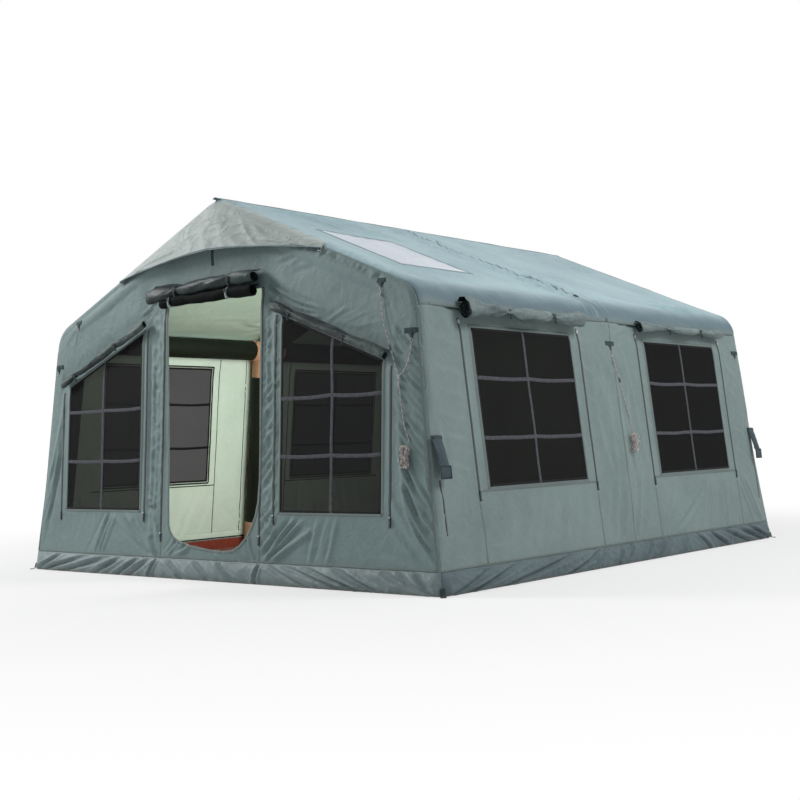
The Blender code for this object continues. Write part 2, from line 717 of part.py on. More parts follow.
def window_nets():
    for side in ("right", "left"):
        for place, word in ((-1, "front"), (1, "back")):
            outline = side_window(place, FIT)
            if side == "left":
                outline = [(-y, z) for y, z in outline]
                outline = [outline[1], outline[0], outline[3], outline[2]]
            middle = sum(u for u, _ in outline) / 4
            levels = [up_wall(side, height) for height in SIDE_BAR_HEIGHTS]
            net(f"window_net_{side}_{word}", side, on_wall(side, outline), ([middle], levels))
    for hand, word in ((-1, "left"), (1, "right")):
        outline = end_window(hand, FIT)
        upright = FRONT_SHIFT + hand * (END_WINDOW_NEAR + END_BAR_ACROSS * (END_WINDOW_FAR - END_WINDOW_NEAR))
        levels = [up_wall("front", height) for height in END_BAR_HEIGHTS]
        net(f"window_net_door_{word}", "front", on_wall("front", outline), ([upright], levels))


def roll_profile(length, radius):
    # A rolled cover drawn in beside its two ties, as (radius, distance along it).
    pinch = radius * (1 - TIE_PINCH)
    tie = pinch + TIE_PROUD
    points = [(0, 0), (radius * 0.9, 0), (radius, 0.012)]
    for place in (TIE_PLACE, 1 - TIE_PLACE):
        middle = length * place
        for offset, size in ((-TIE_FAR, radius), (-TIE_NEAR, pinch * TIE_SWELL), (-0.5, pinch), (-0.5, tie),
                             (0.5, tie), (0.5, pinch), (TIE_NEAR, pinch * TIE_SWELL), (TIE_FAR, radius)):
            points.append((size, middle + offset * TIE_WIDTH))
    points += [(radius, length - 0.012), (radius * 0.9, length), (0, length)]
    return points


def cover_roll(name, side, start, end, radius):
    # A roll lying on a wall from one point of it to another, as (u, height).
    frame = wall_frame(side)
    a = frame @ Vector((start[0], up_wall(side, start[1]), radius + FIT))
    b = frame @ Vector((end[0], up_wall(side, end[1]), radius + FIT))
    bm = bmesh.new()
    verts = [bm.verts.new((r, 0, z)) for r, z in roll_profile((b - a).length, radius)]
    edges = [bm.edges.new(pair) for pair in zip(verts, verts[1:])]
    bmesh.ops.spin(bm, geom=verts + edges, axis=(0, 0, 1), cent=(0, 0, 0), angle=2 * math.pi, steps=12,
                   use_merge=True)
    out = Vector(frame.col[2][:3])
    along = (b - a).normalized()
    turn = Matrix((out, along.cross(out), along)).transposed().to_4x4()
    bmesh.ops.transform(bm, verts=bm.verts, matrix=Matrix.Translation(a) @ turn)
    return smooth(mesh_object(name, ROLL_CLOTH, bm))


def cover_rolls():
    for side in ("right", "left"):
        for place, word in ((-1, "front"), (1, "back")):
            outline = side_window(place)
            near, far = outline[0][0] - SIDE_ROLL_OVERHANG, outline[1][0] + SIDE_ROLL_OVERHANG
            if side == "left":
                near, far = -far, -near
            radius = SIDE_ROLL_RADIUS if place < 0 else BACK_ROLL_RADIUS
            cover_roll(f"cover_roll_{side}_{word}", side, (near, SIDE_ROLL_HEIGHT), (far, SIDE_ROLL_HEIGHT), radius)
    drop = (END_WINDOW_HEAD - END_WINDOW_LOW_HEAD) / (END_WINDOW_FAR - END_WINDOW_NEAR)
    for hand, word in ((-1, "left"), (1, "right")):
        spots = []
        for x in (END_WINDOW_NEAR - ZIP_MARGIN / 2, END_WINDOW_FAR + ZIP_MARGIN / 2):
            head = END_WINDOW_HEAD - (x - END_WINDOW_NEAR) * drop + END_ROLL_LIFT
            spots.append((FRONT_SHIFT + hand * x, head))
        cover_roll(f"cover_roll_door_{word}", "front", *sorted(spots), END_ROLL_RADIUS)
    middle = FRONT_SHIFT + DOOR_SHIFT
    cover_roll("door_roll", "front", (middle - DOOR_ROLL_LEFT, DOOR_ROLL_HEIGHT),
               (middle + DOOR_ROLL_RIGHT, DOOR_ROLL_HEIGHT), DOOR_ROLL_RADIUS)


def zip_pull(name, side, u, height):
    # Slider and tab in one profile, seen from the side: distance up the zip and height off the tape.
    half = PULL_HEIGHT / 2
    profile = [(-half, 0), (half, 0), (half, PULL_THICK / 2), (half / 2, PULL_THICK), (-half / 2, PULL_THICK),
               (-half, 2 * PULL_TAB_THICK), (-half - PULL_TAB, 2 * PULL_TAB_THICK),
               (-half - PULL_TAB, PULL_TAB_THICK), (-half, PULL_TAB_THICK)]
    obj = flat_outline(name, HARDWARE, [profile], PULL_WIDTH)
    turn = Matrix(((0, 1, 0), (0, 0, 1), (1, 0, 0))).transposed().to_4x4()
    low = up_wall(side, height) + half + PULL_TAB
    obj.matrix_world = wall_frame(side) @ Matrix.Translation((u, low, ZIP_PROUD + FIT)) @ turn
    return obj


def zip_pulls():
    for side, word, u, low, high in zip_lines():
        zip_pull(f"zip_pull_{word}", side, u, low)
        travel = up_wall(side, high) - up_wall(side, low) - PULL_HEIGHT - PULL_TAB - ZIP_MARGIN / 4
        axis = wall_frame(side).to_3x3() @ Vector((0, 1, 0))
        print(f"zip_pull_{word}: slides {travel:.3f} m along", tuple(round(value, 5) for value in axis))


def flap_places():
    # Y of the two port flaps on the right wall.
    place = BASE_LENGTH / 2 - FLAP_FROM_END
    return -place, place


def port_flap(name, u):
    # A hanging flap over a port: round at its hinge, bowed out, with a stiff square at its lower end.
    steps = 10
    hem_start = FLAP_LENGTH - FLAP_HEM

    def bow(s):
        return FLAP_BULGE * math.sin(math.pi * 0.62 * s / FLAP_LENGTH)

    stations = [FLAP_LENGTH * i / steps for i in range(1, steps + 1)]
    front, back = [], []
    for s in stations:
        thick = FLAP_HEM_THICK if s >= hem_start else FLAP_THICK
        front.append((-s, bow(s) + thick / 2))
        back.append((-s, bow(s) - thick / 2))
    end = arc((0, 0), FLAP_THICK / 2, -math.pi / 3, math.pi / 2, 4)
    profile = [*back[::-1], *end, *front]
    obj = flat_outline(name, SKIRT_CLOTH, [profile], FLAP_WIDTH)
    turn = Matrix(((0, 1, 0), (0, 0, 1), (1, 0, 0))).transposed().to_4x4()
    place = Matrix.Translation((u, up_wall("right", FLAP_TOP), FLAP_THICK / 2 + FIT))
    obj.matrix_world = wall_frame("right") @ place @ turn
    hinge = obj.matrix_world.translation
    print(f"{name}: hinge at", tuple(round(value, 5) for value in hinge), "along Y")
    return obj


def hank_path(side, spot):
    # Loops laid one on another against a wall, as one unbroken path. It starts down the right-hand run.
    half_run = HANK_RUN / 2

    def run_width(v):
        return HANK_HALF * (1 - HANK_WAIST * (1 - (v / half_run) ** 2))

    loop = []
    for i in range(4):
        v = half_run - HANK_RUN * i / 4
        loop.append((run_width(v), v))
    loop += [(x, z) for x, z in arc((0, -half_run), HANK_HALF, 0, -math.pi, 8)][:-1]
    for i in range(4):
        v = -half_run + HANK_RUN * i / 4
        loop.append((-run_width(v), v))
    loop += [(x, z) for x, z in arc((0, half_run), HANK_HALF, math.pi, 0, 8)][:-1]
    u0, height = spot
    frame = wall_frame(side)
    points = []
    for i in range(HANK_TURNS * len(loop) + 1):
        u, v = loop[i % len(loop)]
        w = CORD / 2 + FIT + HANK_STEP * i / len(loop)
        points.append(frame @ Vector((u0 + u, up_wall(side, height) + v, w)))
    return points


def least_gap(points, diameter):
    # Smallest clear distance between stretches of the path that aren't neighbours.
    best = math.inf
    for i, a in enumerate(points):
        travelled = 0.0
        for j in range(i + 1, len(points)):
            if travelled > 4 * diameter:
                best = min(best, segment_distance(a, points[j - 1], points[j]))
            travelled += (points[j] - points[j - 1]).length
    return best - diameter


def segment_distance(point, start, end):
    span = end - start
    share = max(0.0, min(1.0, (point - start).dot(span) / span.length_squared))
    return (point - start - span * share).length


def smooth_path(route, spacing):
    # Points at even steps on a smooth curve through the route.
    route = [Vector(point) for point in route]
    ends = [route[0] * 2 - route[1], *route, route[-1] * 2 - route[-2]]
    fine = []
    for a, b, c, d in zip(ends, ends[1:], ends[2:], ends[3:]):
        for i in range(20):
            t = i / 20
            fine.append(0.5 * ((2 * b) + (c - a) * t + (2 * a - 5 * b + 4 * c - d) * t ** 2
                               + (3 * b - a - 3 * c + d) * t ** 3))
    fine.append(route[-1])
    length = sum((b - a).length for a, b in zip(fine, fine[1:]))
    count = max(2, round(length / spacing))
    points, travelled, target = [fine[0]], 0.0, length / count
    for a, b in zip(fine, fine[1:]):
        step = (b - a).length
        while travelled + step >= target - 1e-9 and len(points) < count:
            points.append(a + (b - a) * ((target - travelled) / step))
            target += length / count
        travelled += step
    points.append(route[-1])
    return points


def guy_lines():
    front = wall_frame("front")
    right = wall_frame("right")
    lie = CORD / 2 + FIT     # a cord's axis when it lies on the cloth

    def on_front(x, height, off=lie):
        return front @ Vector((x, up_wall("front", height), off))

    def on_right(y, height, off=lie):
        return right @ Vector((y, up_wall("right", height), off))

    for name, side, spot in (("front", "front", HANK_FRONT), ("middle", "right", HANK_MIDDLE)):
        loops = hank_path(side, spot)
        print(f"guy_hank_{name}: least gap to itself {1000 * least_gap(loops, CORD):.2f} mm,",
              f"length {sum((b - a).length for a, b in zip(loops, loops[1:])):.3f} m")
        tube(f"guy_hank_{name}", ROPE, loops, CORD / 2, 1)

    start = hank_path("front", HANK_FRONT)[0]
    tip = EAVE_ANCHOR_Z - TAB_HEIGHT - TAB_DROP
    down = front.to_3x3() @ Vector((0, -1, 0))
    join = on_front(1.668, 1.268, 0.012)
    route = [on_front(EAVE_ANCHOR_X, tip - CORD / 2 - FIT), on_front(EAVE_ANCHOR_X + 0.002, tip - 0.05, 0.006),
             on_front(1.552, 1.60, 0.009), on_front(1.608, 1.45, 0.011), join, on_front(1.690, 1.12, 0.010),
             on_front(1.715, 0.98, 0.006), start - down * 0.04, start - down * (0.001 + FIT)]
    line("guy_line_front", route)

    tip = TAB_TOP - TAB_HEIGHT - TAB_DROP
    side = front.to_3x3() @ Vector((1, 0, 0))
    route = [on_front(CORNER_TAB_X, tip - CORD / 2 - FIT), on_front(CORNER_TAB_X + 0.002, tip - 0.035, 0.006),
             on_front(1.754, 1.400, 0.008), on_front(1.730, 1.335, 0.010),
             join + side * (CORD + 3 * FIT) + Vector((0, 0, 0.006))]
    line("guy_bridle_front", route)

    start = hank_path("right", HANK_MIDDLE)[0]
    down = right.to_3x3() @ Vector((0, -1, 0))
    route = [on_right(0.0, tip - CORD / 2 - FIT), on_right(0.018, 1.42, 0.007), on_right(0.060, 1.28, 0.009),
             on_right(0.105, 1.13, 0.009), on_right(0.140, 1.00, 0.006), start - down * 0.04,
             start - down * (0.001 + FIT)]
    line("guy_line_middle", route)


def line(name, route):
    points = smooth_path(route, 5 * CORD)
    print(f"{name}: length {sum((b - a).length for a, b in zip(points, points[1:])):.3f} m")
    return tube(name, ROPE, points, CORD / 2, 2)


def build():
    groundsheet()
    skirt()
    front_wall()
    end_wall("back", [])
    for side in ("left", "right"):
        side_wall(side)
    roof_panel(-1, "roof_panel_left")
    skylight(roof_panel(1, "roof_panel_right"))
    visor("visor_front", -1, lambda z: end_y(z, 0), 0)
    visor("visor_back", 1, lambda z: roof_back(z) - CLOTH_INSET, CLOTH_INSET)
    for place, word in ((-1, "front"), (0, "middle"), (1, "back")):
        roof_arch(place, word)
        for hand, side in ((-1, "left"), (1, "right")):
            column(hand, place, f"column_{word}_{side}")
    beams()
    window_nets()
    cover_rolls()
    zip_pulls()
    for u, word in zip(flap_places(), ("front", "back")):
        port_flap(f"port_flap_{word}", u)
    guy_lines()


build()
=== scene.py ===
import math

import bmesh
import bpy
import numpy as np
from mathutils import Matrix, Vector


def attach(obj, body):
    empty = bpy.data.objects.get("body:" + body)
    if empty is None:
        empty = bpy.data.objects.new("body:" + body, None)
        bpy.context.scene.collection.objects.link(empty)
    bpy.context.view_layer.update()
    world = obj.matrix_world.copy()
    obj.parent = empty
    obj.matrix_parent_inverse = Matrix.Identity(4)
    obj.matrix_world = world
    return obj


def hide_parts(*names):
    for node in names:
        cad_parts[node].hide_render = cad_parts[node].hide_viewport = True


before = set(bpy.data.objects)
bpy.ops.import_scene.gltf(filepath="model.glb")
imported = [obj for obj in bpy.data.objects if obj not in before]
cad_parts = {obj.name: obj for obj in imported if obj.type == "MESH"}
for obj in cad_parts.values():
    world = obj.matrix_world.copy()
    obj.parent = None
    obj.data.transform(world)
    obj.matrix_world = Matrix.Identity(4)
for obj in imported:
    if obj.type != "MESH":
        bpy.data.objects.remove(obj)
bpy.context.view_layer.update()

# Metres, +Z up, the door faces -Y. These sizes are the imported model's own.
tent = {
    "width": 4.00, "length": 4.40, "eave": 1.82, "ridge": 2.60,
    "sideLean": 0.20, "endLean": 0.10, "shoulder": 0.22, "backReach": 0.015,
    "cloth": 0.005, "fit": 0.0003, "skirt": 0.14, "groundCloth": 0.004,
}
halfX, halfY = tent["width"] / 2, tent["length"] / 2
sideAngle = math.atan2(tent["sideLean"], tent["eave"])
endAngle = math.atan2(tent["endLean"], tent["eave"])
roofAngle = math.atan2(tent["ridge"] - tent["eave"], halfX - tent["sideLean"])
circle = 2 * math.pi

view = {
    "place": (6.465, -7.805, 0.882), "yaw": 0.7017, "pitch": 0.0342, "roll": -0.0312,
    "focal": 1260.48, "frame": 800, "sensor": 36,
}


def makeCamera():
    yaw, pitch, roll = view["yaw"], view["pitch"], view["roll"]
    ahead = Vector((-math.sin(yaw) * math.cos(pitch), math.cos(yaw) * math.cos(pitch), math.sin(pitch)))
    right = Vector((math.cos(yaw), math.sin(yaw), 0))
    up = right.cross(ahead)
    right, up = (right * math.cos(roll) + up * math.sin(roll), up * math.cos(roll) - right * math.sin(roll))
    data = bpy.data.cameras.new("camera")
    data.sensor_width = view["sensor"]
    data.lens = view["focal"] / view["frame"] * view["sensor"]
    data.clip_end = 200
    camera = bpy.data.objects.new("camera", data)
    turn = Matrix((right, up, -ahead)).transposed().to_4x4()
    camera.matrix_world = Matrix.Translation(view["place"]) @ turn
    bpy.context.scene.collection.objects.link(camera)
    bpy.context.scene.camera = camera


makeCamera()


endWalls, sideWalls = ("front", "back"), ("right", "left")


# Form of the tent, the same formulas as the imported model's

def wallX(height, inset=0):
    return halfX - height * math.tan(sideAngle) - inset / math.cos(sideAngle)


def endY(height, inset=0):
    return halfY - height * math.tan(endAngle) - inset / math.cos(endAngle)


def roofZ(x, inset=0):
    return tent["ridge"] - abs(x) * math.tan(roofAngle) - inset / math.cos(roofAngle)


def shoulderCentre():
    wall, ridge = wallX(0, tent["shoulder"]), roofZ(0, tent["shoulder"])
    z = (ridge - wall * math.tan(roofAngle)) / (1 - math.tan(sideAngle) * math.tan(roofAngle))
    return wall - z * math.tan(sideAngle), z


def arcPoints(cx, cz, radius, first, last, steps):
    return [(cx + radius * math.cos(first + (last - first) * i / steps),
             cz + radius * math.sin(first + (last - first) * i / steps)) for i in range(steps + 1)]


def shoulderArc(inset, steps):
    # the bend from wall to roof on the +X side, bottom to top, as (x, z)
    return arcPoints(*shoulderCentre(), tent["shoulder"] - inset, sideAngle, math.pi / 2 - roofAngle, steps)


def wallAxes(side):
    # origin, across, up and out of a wall's outer plane
    place, across = {"front": ((0, -halfY, 0), (1, 0, 0)), "back": ((0, halfY, 0), (-1, 0, 0)),
                     "right": ((halfX, 0, 0), (0, 1, 0)), "left": ((-halfX, 0, 0), (0, -1, 0))}[side]
    lean, u = leanOf(side), np.array(across, float)
    out = np.cross(u, (0, 0, 1))
    v = np.array((0, 0, 1)) * math.cos(lean) - out * math.sin(lean)
    return np.array(place, float), u, v, np.cross(u, v)


def leanOf(side):
    return endAngle if side in endWalls else sideAngle


def upWall(side, height):
    return height / math.cos(leanOf(side))


def wallLine(side, points):
    # (u, height) to (u, distance up the wall)
    return [(u, upWall(side, z)) for u, z in points]


def pairs(points):
    # the sides of a closed outline
    return zip(points, points[1:] + points[:1])


# Openings of the walls, as (u, height), and the lines that the zips follow

door = {"shift": -0.04, "middle": -0.01, "width": 0.94, "sill": 0.25, "top": 1.93, "zipOut": 0.025}
endWindow = {"near": 0.71, "far": 1.57, "sill": 0.465, "head": 1.73, "lowHead": 1.385, "zipOut": 0.07,
             "bars": (0.82, 1.19), "barAcross": 0.52}
sideWindow = {"fromEnd": 0.58, "width": 1.11, "sill": 0.60, "head": 1.58, "bars": (0.90, 1.27),
              "margin": 0.112, "drop": 0.08}
rolls = {"sideRadius": 0.052, "sideHeight": 1.685, "overhang": 0.11, "endRadius": 0.034, "endLift": 0.055,
         "doorRadius": 0.052, "doorHeight": 1.985, "doorLeft": 0.60, "doorRight": 0.48}
# the door roll's two ends across the front, and its height
doorRoll = (door["middle"] - rolls["doorLeft"], door["middle"] + rolls["doorRight"], rolls["doorHeight"])
corners = ((-1, -1), (1, -1), (1, 1), (-1, 1))


def endHead(x):
    # head of a front window at a distance from the door's middle line
    drop = (endWindow["head"] - endWindow["lowHead"]) / (endWindow["far"] - endWindow["near"])
    return endWindow["head"] - (x - endWindow["near"]) * drop


def doorway(grow=0.0):
    # the slack sill hangs in a crooked U, lowest right of the middle
    hang = [(-0.418, 0.37), (-0.404, 0.330), (-0.372, 0.293), (-0.330, 0.268), (-0.20, 0.236), (0.0, 0.212),
            (0.16, 0.205), (0.24, 0.216), (0.300, 0.248), (0.356, 0.300), (0.405, 0.368), (0.440, 0.435),
            (0.464, 0.525), (0.478, 0.70)]
    left, right = door["middle"] - door["width"] / 2, door["middle"] + door["width"] / 2
    return [(x + grow * (-1 if x < 0.15 else 1) * min(1, abs(x - 0.15) / 0.25),
             z - grow * (z < 1) * max(0.0, 1 - (z - 0.2) / 0.25))
            for x, z in [(left, door["top"]), *hang, (right + 0.006, door["top"])]]


def endWindowOutline(hand):
    near, far, low = endWindow["near"], endWindow["far"], endWindow["sill"]
    points = [(door["shift"] + hand * x, z)
              for x, z in ((near, low), (far, low), (far, endHead(far)), (near, endHead(near)))]
    return points if hand > 0 else points[::-1]


def sideWindowOutline(side, place):
    outer = halfY - sideWindow["fromEnd"]
    a, b = sorted(place * (1 if side == "right" else -1) * x for x in (outer, outer - sideWindow["width"]))
    low, high = sideWindow["sill"], sideWindow["head"]
    return [(a, low), (b, low), (b, high), (a, high)]


def rollEnds(side, place, reach):
    # the two places along a side wall that lie a reach past a window's edges
    outline = sideWindowOutline(side, place)
    return outline[0][0] - reach, outline[1][0] + reach


def endRoll(hand, lift):
    # the two ends of a front window's rolled cover
    over = sideWindow["margin"] / 2
    return [(door["shift"] + hand * x, endHead(x) + rolls["endLift"] - lift)
            for x in (endWindow["near"] - over, endWindow["far"] + over)]


def zipLines(side):
    # each cover zip as (u, lowest, highest height)
    if side in sideWalls:
        return [(u, sideWindow["sill"] - sideWindow["drop"], rolls["sideHeight"] - rolls["sideRadius"])
                for place in (-1, 1) for u in rollEnds(side, place, sideWindow["margin"])]
    lines = []
    for hand in (-1, 1) if side == "front" else ():
        for x in (endWindow["near"] - sideWindow["margin"] / 2, endWindow["far"] + endWindow["zipOut"]):
            lines.append((door["shift"] + hand * x, endWindow["sill"] - sideWindow["drop"],
                          endHead(x) + rolls["endLift"] - 2 * rolls["endRadius"]))
        lines.append((door["middle"] + hand * (door["width"] / 2 + door["zipOut"]), door["sill"],
                      rolls["doorHeight"] - rolls["doorRadius"]))
    return lines


def holesOf(side):
    if side == "front":
        return [doorway(), endWindowOutline(-1), endWindowOutline(1)]
    return [sideWindowOutline(side, place) for place in (-1, 1)] if side in sideWalls else []


# Folds. Every cloth's relief is a sum of long irregular creases, laid out in metres across and up its wall.

def soft(x):
    x = np.clip(x, 0.0, 1.0)
    return x * x * (3 - 2 * x)


def matched(x, y):
    return np.broadcast_arrays(np.asarray(x, float), np.asarray(y, float))


def noise(x, y, seed=0):
    # gradient noise, about -1 to 1, the same on every run
    x, y = matched(x, y)
    x0, y0 = np.floor(x), np.floor(y)
    fx, fy = x - x0, y - y0
    sx, sy = fx ** 3 * (fx * (fx * 6 - 15) + 10), fy ** 3 * (fy * (fy * 6 - 15) + 10)
    x0, y0 = x0.astype(np.int64), y0.astype(np.int64)

    def corner(i, j):
        n = ((x0 + i) * 73856093) ^ ((y0 + j) * 19349663) ^ (seed * 83492791 + 40503)
        n = n & 0x7FFFFFFF
        n = ((n ^ (n >> 13)) * 1274126177) & 0x7FFFFFFF
        angle = (n ^ (n >> 16)) / 0x7FFFFFFF * circle
        return np.cos(angle) * (fx - i) + np.sin(angle) * (fy - j)

    low = corner(0, 0) * (1 - sx) + corner(1, 0) * sx
    high = corner(0, 1) * (1 - sx) + corner(1, 1) * sx
    return 1.5 * (low * (1 - sy) + high * sy)


def creases(across, along, seed, sharp=2.5):
    # long ridges: 1 on a crease line, about 0 between
    warp = 0.4 * noise(across * 0.8, along * 1.5, seed + 7)
    return (1 - np.abs(np.clip(noise(across + warp, along, seed), -1, 1))) ** sharp - 0.45


def fan(u, v, seed, at, toward, spread, reach, count, depth):
    # creases that spread from a point
    du, dv = u - at[0], v - at[1]
    r = np.hypot(du, dv)
    turn = (np.arctan2(dv, du) - math.radians(toward) + math.pi) % circle - math.pi
    share = turn / math.radians(spread)
    window = soft((1 - np.abs(share)) * 2.5) * soft(r / 0.08) * soft((reach - r) / (0.55 * reach))
    return depth * window * creases(share * count, r * 1.4, seed)


def patch(u, v, seed, box, angle, pitch, stretch, depth, edge=0.06):
    # creases at one angle inside a box with soft edges
    lowU, lowV, highU, highV = box
    window = soft((u - lowU) / edge) * soft((highU - u) / edge)
    window = window * soft((v - lowV) / edge) * soft((highV - v) / edge)
    angle = math.radians(angle)
    across = -u * math.sin(angle) + v * math.cos(angle)
    along = u * math.cos(angle) + v * math.sin(angle)
    return depth * window * creases(across / pitch, along / stretch, seed)


def pleats(u, v, seed, starts, ends, count, width, depth, bow=0, fade=3.5):
    # separate pleats: each starts on one guide line and ends on another
    a0, a1, b0, b1 = np.array((*starts, *ends), float).reshape(4, 2)
    total = 0.0
    for i in range(count):
        jitter = noise(np.array([1.7, 4.3, 7.9, 11.1]) + i * 3.37, seed * 1.3, seed)
        share = (i + 0.5 + 0.45 * jitter[0]) / count
        start, end = a0 + (a1 - a0) * share, b0 + (b1 - b0) * (share + 0.6 * jitter[1] / count)
        run = math.hypot(*(end - start))
        cu, cv = (end - start) / run
        s = ((u - start[0]) * cu + (v - start[1]) * cv) / run - 0.08 * jitter[1]
        bend = bow * (1 + 0.8 * jitter[2]) * 4 * s * (1 - s) + 0.12 * width * np.sin(s * 9 + 6 * jitter[3])
        t = (-(u - start[0]) * cv + (v - start[1]) * cu + bend) / (width * (1 + 0.5 * jitter[3]))
        window = soft(s * 5) * soft((1 - s) * fade)
        shape = np.exp(-t * t) - 0.7 * np.exp(-(t - 1.5) ** 2)
        total = total + depth * (0.85 + 0.75 * jitter[2]) * window * shape
    return total


def distanceToLine(u, v, a, b):
    (u0, v0), (u1, v1) = a, b
    span = (u1 - u0) ** 2 + (v1 - v0) ** 2
    share = np.clip(((u - u0) * (u1 - u0) + (v - v0) * (v1 - v0)) / span, 0, 1)
    return np.hypot(u - u0 - share * (u1 - u0), v - v0 - share * (v1 - v0))


def outsideOf(u, v, outline):
    # distance out of a convex anticlockwise outline, negative inside it
    worst = np.full(np.shape(u), -9.0)
    for (u0, v0), (u1, v1) in pairs(outline):
        run = math.hypot(u1 - u0, v1 - v0)
        worst = np.maximum(worst, ((u - u0) * (v1 - v0) - (v - v0) * (u1 - u0)) / run)
    return worst


